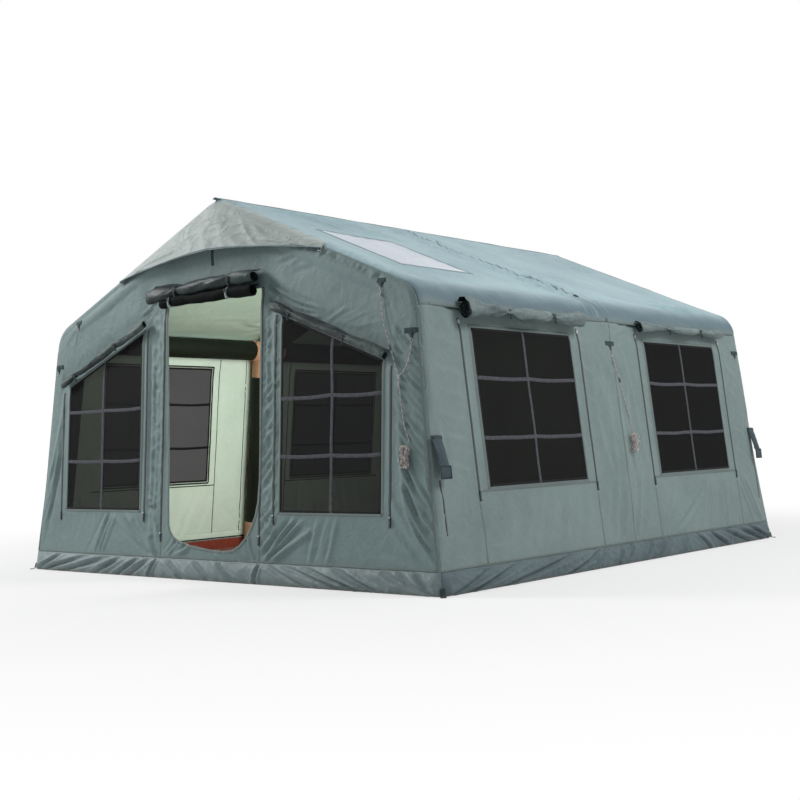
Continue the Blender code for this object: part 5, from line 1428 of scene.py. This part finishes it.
def makeVisors():
    # a cap over each gable's peak: from the roof's rounded edge down to a hem that stands out in its middle
    s = {"half": 1.02, "rise": 0.10, "corner": 0.03, "stand": 0.05, "columns": 120, "rows": 46, "over": 0.075,
         "front": 0.72, "gap": 0.003, "fall": 0.56}
    front, gap, radius = s["front"], s["gap"], roof["round"]
    i, j = np.meshgrid(np.linspace(-1, 1, s["columns"]), np.linspace(0, 1, s["rows"]))
    x = i * s["half"]
    low = roofZ(s["half"]) - s["corner"] + s["rise"] * (1 - np.abs(i) ** 1.5)
    edge = tent["ridge"] - 0.012 * np.exp(-(x / 0.05) ** 2) - np.abs(x) * math.tan(roofAngle)
    # rows run from the hem up the gable, over the rounded edge and a little way onto the roof
    rise = np.minimum(j / front, 1)
    turn = np.clip((j - front) / (0.92 - front), 0, 1) * math.pi / 2
    onto = np.clip((j - 0.92) / 0.08, 0, 1) * s["over"] * 0.3
    inward = np.where(j > front, radius - (radius + gap) * np.cos(turn), 0) + onto
    z = np.where(j > front, edge - radius + (radius + gap) * np.sin(turn), low + (edge - radius - low) * rise)
    stand = s["stand"] * np.cos(i * math.pi / 2) * (1 - rise) ** 1.1
    drape = creases(i * 2.2 - j * 3.5 * np.sign(i + 0.01), j * 2.2, 545, 2) * 0.009 * soft((front - j) * 5)
    for facing, word in ((-1, "front"), (1, "back")):
        pull = creases(i * 5 + 0.8 * j, j * 1.2 + i, 541 + facing, 2.5) * 0.012 * soft(j * 6 + 0.35)
        pull = pull * soft((front + 0.1 - j) * 4)
        out = stand + gap * 0.5 + np.maximum(pull + drape + 0.006, 0.0) * soft((1 - np.abs(i)) * 9)
        base = endY(z) if facing < 0 else roofEnds(z)[1]
        y = facing * (base + out * (j <= front) + np.where(j > front, gap, 0) - inward)
        points = asPoints(x, y, z)
        piece = meshOf(f"visor_cloth_{word}", points, gridFaces(s["rows"], s["columns"])[:, ::-facing],
                       ["visor", "flap"], overCloth(x, z))
        dress(thicken(piece, 0.0025), "roof_cloth", f"visor_{word}")
        hem = points[1] + np.array((0, facing * 0.0022, 0))
        dress(sweep(f"visor_hem_{word}", hem, 0.0036, 8, "roofSeam"), "roof_cloth")


makeRoof()
makeVisors()
print("roof made")


# Nets with their flat tapes

netForm = {"bar": 0.024, "edge": 0.016, "thick": 0.0016, "back": 0.0025, "sink": 0.0002}


def netPanel(name, side, outline, upright, levels):
    points = wallLine(side, outline)
    flat, faces = flatCut(points, [], 0.03)

    def place(u, v, off=0.0):
        return onWall(side, u, v, off - netForm["back"])

    def inside(u, v, off):
        return onWall(side, u, v, -off - netForm["back"] - 0.0006)

    # the right wall's nets take the darker net paint, partly painted shade
    net = meshOf(name, place(*flat.T), faces, ["sideNet" if side == "right" else "net"], overCloth(*flat.T))
    dress(net, "netting", name.replace("_mesh", ""))
    spanOf(points)
    areaOf(points)
    tapes = []
    for layer, paint, width in ((place, "bar", netForm["bar"]), (inside, "barInner", netForm["bar"] * 0.8)):
        def lay(path, width=width, thick=netForm["thick"], paint=paint):
            tapes.append(ribbon(layer, path, width, thick, paint, sink=netForm["sink"]))

        for level in levels:
            v = upWall(side, level)
            a, b = crossing(points, 1, v)
            x = np.linspace(a, b, 24)
            wave = np.abs(np.sin((x - a) / (b - a) * circle))
            lay(np.column_stack((x, v - 0.006 * wave + 0.004 * noise(x * 4, v * 9, 31))))
        y = np.linspace(*crossing(points, 0, upright), 24)
        lay(np.column_stack((upright + 0.005 * noise(y * 3, upright * 9, 32), y)))
        for edge in pairs(insetLine(points, netForm["edge"] / 2)):
            lay(edge, netForm["edge"], netForm["thick"] * 0.7, "barInner")
    dress(joined(name.replace("_mesh", "_tapes"), tapes), "netting")


def crossing(points, axis, value):
    # where a line of constant u (0) or v (1) crosses a convex outline
    found = []
    for a, b in pairs(points):
        if (a[axis] - value) * (b[axis] - value) < 0:
            t = (value - a[axis]) / (b[axis] - a[axis])
            found.append(a[1 - axis] + t * (b[1 - axis] - a[1 - axis]))
    return min(found), max(found)


def insetLine(points, inset):
    # a closed outline moved inward
    moved = []
    for k in range(len(points)):
        a, b, c = (Vector(points[(k + d) % len(points)]) for d in (-1, 0, 1))
        first, second = (Vector((-d.y, d.x)).normalized() for d in (b - a, c - b))
        middle = (first + second).normalized()
        moved.append(tuple(b + middle * (inset / max(0.3, middle.dot(first)))))
    return moved


for side in sideWalls:
    for place, word in ((-1, "front"), (1, "back")):
        outline = sideWindowOutline(side, place)
        upright = (outline[0][0] + outline[1][0]) / 2
        netPanel(f"window_net_{side}_{word}_mesh", side, outline, upright, sideWindow["bars"])
for hand, word in ((-1, "left"), (1, "right")):
    upright = endWindow["near"] + endWindow["barAcross"] * (endWindow["far"] - endWindow["near"])
    netPanel(f"window_net_door_{word}_mesh", "front", endWindowOutline(hand), door["shift"] + hand * upright,
             endWindow["bars"])
print("nets made")


# Sewn trim: zips, seams, hems and patches that follow the walls

trim = {"zip": 0.020, "zipThick": 0.0012, "coil": (0.0052, 0.0010), "seam": 0.014, "seamThick": 0.0012,
        "hem": 0.022, "low": tent["skirt"] + 0.01}


def outside(side):
    return lambda u, v, off: onWall(side, u, v, off)


def within(side):
    return lambda u, v, off: onWall(side, u, v, -wallCut["thick"] - off)


def straight(side, u, low, high):
    return wallLine(side, [(u, low), (u, high)])


def trimOf(side):
    zips, seams, dark = [], [], []
    thick, low, sideways = trim["seamThick"], trim["low"], side in sideWalls
    lean = endY if sideways else wallX

    def sew(path, width=trim["seam"], thick=thick, paint="seam", **more):
        seams.append(ribbon(outside(side), path, width, thick, paint, **more))

    def bind(path, width, thick, paint="barInner"):
        dark.append(ribbon(within(side), path, width, thick, paint))
        dark[-1].data.flip_normals()

    def level(first, last, z):
        return wallLine(side, [(first, z), (last, z)])

    for u, first, last in zipLines(side):
        zips.append(ribbon(outside(side), straight(side, u, first, last), trim["zip"], trim["zipThick"],
                           "zip", rib=trim["coil"]))
        if sideways:
            top = onWall(side, u, upWall(side, last) - 0.022, 0.001)
            zips.append(sliderPiece("top_slider", top, *wallAxes(side)[2:], 0.013, 0.0065, 0.003, "toggle"))
    if sideways:
        for place in (-1, 1):
            a, b = rollEnds(side, place, sideWindow["margin"])
            sill = sideWindow["sill"]
            sew(level(a, b, sill - 0.02))
            for u in (a, b):
                sew(straight(side, u, low, sill - sideWindow["drop"] - 0.02))
            for edge in pairs(insetLine(wallLine(side, sideWindowOutline(side, place)), -trim["hem"] / 2)):
                sew(edge, trim["hem"], thick * 0.8)
                bind(edge, trim["hem"] * 0.6, thick * 0.8)
        sew(straight(side, 0.012, low, 1.73))
        # dark binding inside: beside each window, below it, and over the middle column's edges
        for u in (-0.43, 0.43, -0.11, 0.11):
            bind(straight(side, u, 0.105, 1.66), 0.008, 0.001)
        for a, b in ((-1.72, -0.43), (0.43, 1.72)):
            bind(level(a, b, sideWindow["sill"] - 0.032), 0.009, 0.001)
    if side == "front":
        sew(wallLine(side, doorway(0.010)), 0.020, 0.0022, spacing=0.012)
        for hand in (-1, 1):
            for edge in pairs(insetLine(wallLine(side, endWindowOutline(hand)), -0.009)):
                sew(edge, 0.018, 0.001)
            u = door["middle"] + hand * (door["width"] / 2 + door["zipOut"])
            sew(straight(side, u, low, door["sill"] - 0.01))
        sew(straight(side, -0.025, 2.135, 2.30), 0.026, 0.0024, "webbing")
    # the lining reaches over the turned-up groundsheet and ends in a dark binding
    reach = lean(0.1) - 0.12
    for bottom, top, paint in ((0.104, 0.150, "lining"), (0.094, 0.104, "barInner"),
                               (0.086, 0.094, "paleStrap"), (0.001, 0.086, "ground")):
        bind(level(-reach, reach, (bottom + top) / 2), top - bottom, 0.0012, paint)
    if side == "back":
        for u in (-0.9, 0.9):
            sew(straight(side, u, low, 2.10), 0.016, 0.0016)
    # the corner's felled seam and the seam over the skirt
    for hand in () if sideways else (-1, 1):
        edge = [(hand * (lean(z) - 0.020), z) for z in np.linspace(low, 1.66, 30)]
        sew(wallLine(side, edge), 0.018, 0.0022)
    edge = lean(tent["skirt"]) - 0.03
    sew(level(-edge, edge, tent["skirt"] + 0.006), 0.012, 0.0018)
    if zips:
        dress(joined(f"{side}_zips", zips), "zip_hardware")
    dress(joined(f"{side}_inner_bindings", dark), "wall_cloth")
    dress(joined(f"{side}_seams", seams), "wall_cloth")


def guyTabs():
    # a sewn patch, a folded webbing drop and a ring at each guy point
    high, low = (rope["anchorX"], rope["anchorZ"]), (rope["cornerX"], rope["tabTop"])
    end = halfY - rope["tabFromEnd"]
    spots = [("front", hand * x, z) for hand in (-1, 1) for x, z in (high, low)]
    spots += [("right", 0.0, low[1]), ("right", end, low[1]), ("left", 0.0, low[1]), ("left", -end, low[1])]
    for k, (side, u, top) in enumerate(spots):
        v = upWall(side, top)
        half = 0.034 if top > 1.7 else 0.058
        parts = []
        cuts = ((half, 0.017, 0.017, 0.032, 0.0026), (0, 0.030, 0.066, 0.022, 0.0042),
                (0, 0.026, 0.044, 0.044, 0.0022))
        for far, first, last, width, thick in cuts:
            path = [(u - far, v - first), (u + far, v - last)]
            parts.append(ribbon(outside(side), path, width, thick, "webbing", spacing=0.006))
        _, across, up, _ = wallAxes(side)
        t = np.linspace(0, circle, 25)
        ring = (onWall(side, u, v - 0.070, 0.004) + np.outer(0.011 * np.cos(t), across)
                + np.outer(0.009 * np.sin(t), up))
        parts.append(sweep("ring", ring, 0.0016, 8, "steel", cap=False))
        dress(joined(f"guy_tab_{k}", parts), "zip_hardware")


for side in endWalls + sideWalls:
    trimOf(side)
# slit zips under the port flaps
slits = [ribbon(outside("right"), straight("right", u, 0.34, 0.66), 0.014, 0.0012, "zip", rib=trim["coil"])
         for u in flapPlaces]
dress(joined("port_slits", slits), "zip_hardware")
guyTabs()
print("trim made")


# Rolled covers: each is its real cloth, wound from the seam over the wall to its core

def rollOf(**form):
    return {"pull": 3.0, "flat": 0.12, "grip": 0.06, "sag": 0.008, "steps": 24, "thick": 0.0010, **form}


rollForm = {
    "side": rollOf(pull=3.2, flat=0.24, turns=5.2, core=0.008, steps=28, stations=120, pinch=0.66, grip=0.14,
                   sag=0.018, twist=0.040, lip=1.1, ties=(0.33, 0.72), thick=0.0011, lumps=0.22),
    "end": rollOf(pull=6.0, flat=0.20, turns=5.5, core=0.005, stations=100, pinch=0.50, sag=0.010,
                  twist=0.034, lip=1.0, ties=(0.17, 0.66), lumps=0.50),
    "door": rollOf(turns=4.6, core=0.010, steps=30, stations=110, pinch=0.34, twist=0.020, lip=0.8,
                   ties=(0.28, 0.79), thick=0.0012, lumps=0.30),
    "net": rollOf(turns=6.0, core=0.006, stations=84, pinch=0.16, grip=0.05, twist=0.018, lip=0.6,
                  ties=(0.12, 0.75), lumps=0.24),
}


def clothRoll(name, side, start, end, radius, form, finish, seed, *nodes, slot="roll_cloth", off=0.0,
              flare=0.0, droop=0.0, strap="strap"):
    s = rollForm[form]
    out = wallAxes(side)[3]
    a, b = flatOn(side, *start), flatOn(side, *end)
    length = np.linalg.norm(b - a)
    along = (b - a) / length
    rise = np.cross(out, along)
    rise = rise if rise[2] > 0 else -rise
    line = np.linspace(0, 1, s["stations"])  # the place along the roll
    phi = np.linspace(0, s["turns"] * circle, int(s["turns"] * s["steps"]))[None]
    grip = sum(np.exp(-np.abs((line - t) * length / s["grip"]) ** 1.4) for t in s["ties"])
    x, at, pinch = line[:, None], line[:, None] * length, grip[:, None]
    held = np.clip(pinch, 0, 1)

    def change(u, v, k):
        return noise(u, v, seed + k)

    outer = radius * (0.96 - s["pinch"] * held) * (1 + s["lumps"] * 0.5 * change(at * 5, 0, 0))
    outer = outer * (1 - 0.10 * soft((0.03 - x) * 40) - 0.10 * soft((x - 0.97) * 40))
    outer = outer * (1 + flare * soft((0.16 - x) / 0.14))
    share = phi / phi[0, -1]
    r = outer + (s["core"] - outer) * share ** 0.9
    # the outer turns carry twisted folds that run between the ties
    skin = np.exp(-share * s["turns"] * 1.1)
    swirl = creases(phi * 0.8 + at * s["pull"], at * 1.4, seed + 3, 1.6)
    swirl = swirl + 0.4 * creases(phi * 0.7 - at * 6.0, at * 2.4, seed + 9, 2.0)
    for k, (first, wind) in enumerate(((0.1, 5.0), (0.55, -7.0))):
        turn = (phi / circle - first - wind * at / circle - 0.1 * change(at * 4, 0, 30 + k)) % 1
        swirl = swirl + s["lip"] * (0.6 - 0.4 * k) * (turn ** 3 - 0.3)
    flat = 1 + s["flat"] * np.cos(2 * phi + at * s["pull"] + 2 * change(at * 2, 0, 15))
    r = r * (1 + (flat - 1) * skin)
    r = np.maximum(r + swirl * s["twist"] * (radius / 0.05) * skin * (0.5 + 0.5 * pinch), s["core"] * 0.6)
    angle = phi - 0.35 + 0.25 * change(at * 2.2, phi * 0.05, 4)
    bow = (-s["sag"] * (1 - held) * (0.6 + 0.4 * change(at * 3, 0, 6)) - droop * (1 - x) ** 2
           + 0.12 * radius * change(at * 6, 1, 12))
    centre = radius + tent["fit"] + off + 0.0025 * change(at * 4, 3, 5)
    # the wall side of the roll lies against the wall, and the inner turns end a little further in
    depth = np.maximum(np.sin(angle) * r * 0.97 + centre, 0.0015 + 0.0012 * (1 - share))
    inward = 0.035 * (radius / 0.05) * share ** 0.8 * (1 - 2 * x) * (1 + 0.6 * change(phi * 0.8, 0, 21))
    height = np.cos(angle) * r + bow
    points = a + along * (at + inward)[..., None] + rise * height[..., None] + out * depth[..., None]
    # the first edge goes up to the seam on the wall
    seam = a + along * at + out * 0.0015 + rise * (radius * (1.0 - 0.45 * held) + 0.004 * change(x * 9, 0, 8))
    points = np.concatenate((seam[:, None], points), axis=1)
    down = runOf(points[s["stations"] // 2])
    faces = gridFaces(*points.shape[:2])
    # the outer side faces away from the roll's axis
    probe = np.cross(points[40, 8] - points[40, 7], points[41, 7] - points[40, 7])
    if probe.dot(points[40, 7] - (a + along * at[40] + out * centre[40])) < 0:
        faces = faces[:, ::-1]
    piece = thicken(meshOf(name, points, faces, finish, overCloth(at, down[None])), s["thick"])
    dress(piece, slot, *nodes)
    # ties: a strap round each pinch with a small buckle and a loose end
    parts = []
    for t in s["ties"]:
        sag, far, size = (float(np.interp(t, line, values[:, 0])) for values in (bow, centre, outer))
        spot = a + along * (t * length) + rise * sag + out * far
        size += 0.0035
        ring = [spot + rise * math.cos(q) * size + out * max(math.sin(q) * size, 0.0012 - far)
                for q in np.linspace(0, circle, 29)]
        parts.append(strapAlong(np.array(ring), along, 0.014, 0.0016, strap))
        tail = smoothLine([spot + out * size, spot + out * (size + 0.004) - rise * 0.02 + along * 0.004,
                           spot + out * (size * 0.9) - rise * 0.05 + along * 0.010], 0.006)
        parts.append(strapAlong(tail, along, 0.018, 0.0014, strap))
        parts.append(buckle(spot + out * (size + 0.003) + rise * size * 0.15, along, rise))
    dress(joined(name.replace("_cloth", "") + "_ties", parts), "roll_cloth")


def buckle(centre, along, rise, half=0.014, tall=0.009, corner=0.003):
    # an open ladder buckle: a rounded frame with a bar across
    x, y = half - corner, tall - corner
    path = [point for k, (cx, cy) in enumerate(((x, y), (-x, y), (-x, -y), (x, -y)))
            for point in arcPoints(cx, cy, corner, k * math.pi / 2, (k + 1) * math.pi / 2, 3)]
    rim = sweep("rim", [centre + along * p + rise * q for p, q in path + path[:1]], 0.0022, 8, "buckle",
                cap=False)
    bar = sweep("bar", [centre - along * half, centre, centre + along * half], 0.0018, 8, "buckle")
    return joined("buckle", [rim, bar])


def makeRolls():
    seed = 600
    for side in sideWalls:
        for place, word, radius, flare in ((-1, "front", 0.050, 0.30), (1, "back", 0.035, 0.12)):
            seed += 10
            ends = [(u, rolls["sideHeight"]) for u in rollEnds(side, place, rolls["overhang"])]
            node = f"cover_roll_{side}_{word}"
            clothRoll(node + "_cloth", side, *ends, radius, "side", ["cover", "coverInner"], seed, node,
                      flare=flare)
    for hand, word, radius, lift in ((-1, "left", 0.026, 0.018), (1, "right", 0.030, 0.010)):
        seed += 10
        node = f"cover_roll_door_{word}"
        clothRoll(node + "_cloth", "front", *sorted(endRoll(hand, lift)), radius, "end",
                  ["endCover", "coverInner"], seed, node)
    left, right, height = doorRoll
    clothRoll("door_roll_cloth", "front", (left, height + 0.014), (right, height + 0.020), 0.050, "door",
              ["doorCloth", "coverInner"], 705, "door_roll", slot="door_cloth", off=0.004, droop=0.040)
    # the door's net hangs rolled up under its cloth
    clothRoll("door_net_roll", "front", (left + 0.13, height - 0.046), (right - 0.012, height - 0.074), 0.044,
              "net", ["blackNet", "blackNet"], 715, slot="door_cloth", droop=0.028, strap="paleStrap")


makeRolls()
print("rolled covers made")


# Port flaps, each on its own hinge

flapForm = {"width": 0.10, "length": 0.26, "top": 0.92, "bulge": 0.045, "hem": 0.078, "rim": 0.003}


def portFlaps():
    s = flapForm
    width, length, rim, top = s["width"], s["length"], s["rim"], upWall("right", s["top"])
    i, j = np.meshgrid(np.linspace(-1, 1, 15), np.linspace(0, 1, 34))
    run = j * length

    def bulge(down):
        return s["bulge"] * np.sin(math.pi * 0.62 * down / length)

    free = 1 - soft((run - length + s["hem"]) / 0.004)
    arch = np.sin(math.pi * j) * free
    for place, word, middle in zip((-1, 1), ("front", "back"), flapPlaces):
        ripple = 0.004 * creases(i * 1.6, j * 2.4, 801 + place, 2) * free * soft(j * 6)
        u, v = middle + i * width / 2 * (1 - 0.10 * arch), top - run * (1 - 0.02 * bulge(run) / s["bulge"])
        off = tent["fit"] + 0.004 + bulge(run) + ripple - 0.010 * np.abs(i) ** 2 * arch
        sheet = meshOf(f"port_flap_{word}_cloth", offPlane("right", u, v, off), gridFaces(*i.shape)[:, ::-1],
                       ["flap", "coverInner"], overCloth(u, v))
        # the lower end is a stiff square with a bound edge
        half, first, last = 0.5 * width - rim, length - s["hem"] + rim, length - rim
        square = ((-half, first), (half, first), (half, last), (-half, last), (-half, first))
        edge = [offPlane("right", middle + across, top - down, tent["fit"] + 0.0055 + bulge(down))
                for across, down in square]
        bound = sweep("binding", evenSteps(np.array(edge), 0.004), 0.0032, 8, "webbing", cap=False)
        hinge = [offPlane("right", middle, top - 0.001 - 0.004 * k, 0.0045 + 0.0012 * k) for k in range(6)]
        strap = strapAlong(hinge, wallAxes("right")[1], width, 0.002, "webbing")
        body = f"port_flap_{word}"
        dress(thicken(sheet, 0.0035), "skirt_cloth", body, body=body)
        dress(joined(f"port_flap_{word}_binding", [bound, strap]), "zip_hardware", body=body)


portFlaps()

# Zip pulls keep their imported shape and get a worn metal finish
for name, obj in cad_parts.items():
    if name.startswith("zip_pull"):
        obj.data.materials.clear()
        obj.data.materials.append(paints["pull"])
print("flaps and pulls made")


# Floor, backdrop and light

studio = {"floor": 0.86, "world": 0.22, "key": 750, "side": 335, "top": 80, "inside": 62, "near": 2.4,
          "far": 4.6, "least": 0.62, "size": 60}


def makeFloor():
    paint = Paint("studio_floor")
    place = paint.room()
    low, high = (studio["floor"] + d for d in (-0.01, 0.01))
    paint.finish(BaseColor=paint.mix(paint.noise(place, 0.7, 2), (low, low, low, 1), (high, high, high, 1)),
                 Roughness=0.9, SpecularIORLevel=0.1)
    # beyond the tent's shadow the floor runs into the white backdrop
    away = paint.node("ShaderNodeVectorMath", {"operation": "LENGTH"}, {0: place}, 1)
    least = studio["least"]
    share = paint.seen() * (least + away.over(studio["near"], studio["far"]) * (1 - least))
    paint.blend(paint.nodes["Material Output"].inputs[0], share, Wire(paint, paint.shader.outputs[0]),
                paint.node("ShaderNodeEmission"))
    points = [(x * studio["size"], y * studio["size"], 0) for x, y in corners]
    meshOf("floor", points, [(0, 1, 2, 3)], [paint.material], shade=False)


def makeLight():
    world = bpy.data.worlds.new("studio")
    bpy.context.scene.world = world
    world.use_nodes = True
    world.node_tree.nodes.clear()
    tree = Tree(world.node_tree)
    dim, white = (tree.node("ShaderNodeBackground", {}, {"Color": colour, "Strength": strength})
                  for colour, strength in (((0.95, 0.98, 1.0, 1), studio["world"]), ((1, 1, 1, 1), 1.0)))
    tree.blend(tree.nodes.new("ShaderNodeOutputWorld").inputs["Surface"], tree.seen(), dim, white)
    for name, place, target, size, tint in (
            ("key", (-8.0, -6.2, 7.0), (0, -2.2, 1.0), (3, 3), (1, 1, 1)),
            ("side", (7.0, 1.2, 6.5), (1.8, -0.8, 0.8), (3, 3), (1, 1, 1)),
            ("top", (1.0, 1.0, 9.0), (0, 0, 1.0), (6, 6), (1, 1, 1)),
            ("inside", (0.9, -0.6, 1.45), (-1.9, -0.7, 1.0), (1.6, 1.2), (0.96, 1.0, 0.93))):
        data = bpy.data.lights.new(name, "AREA")
        data.shape = "RECTANGLE"
        data.size, data.size_y = size
        data.energy, data.color = studio[name], tint
        lamp = linked(bpy.data.objects.new(name, data))
        lamp.location = place
        lamp.rotation_euler = (Vector(target) - Vector(place)).to_track_quat("-Z", "Y").to_euler()
        lamp.visible_camera = False
    bpy.context.scene.view_settings.view_transform = "Standard"


makeFloor()
makeLight()
print("stage and light made")
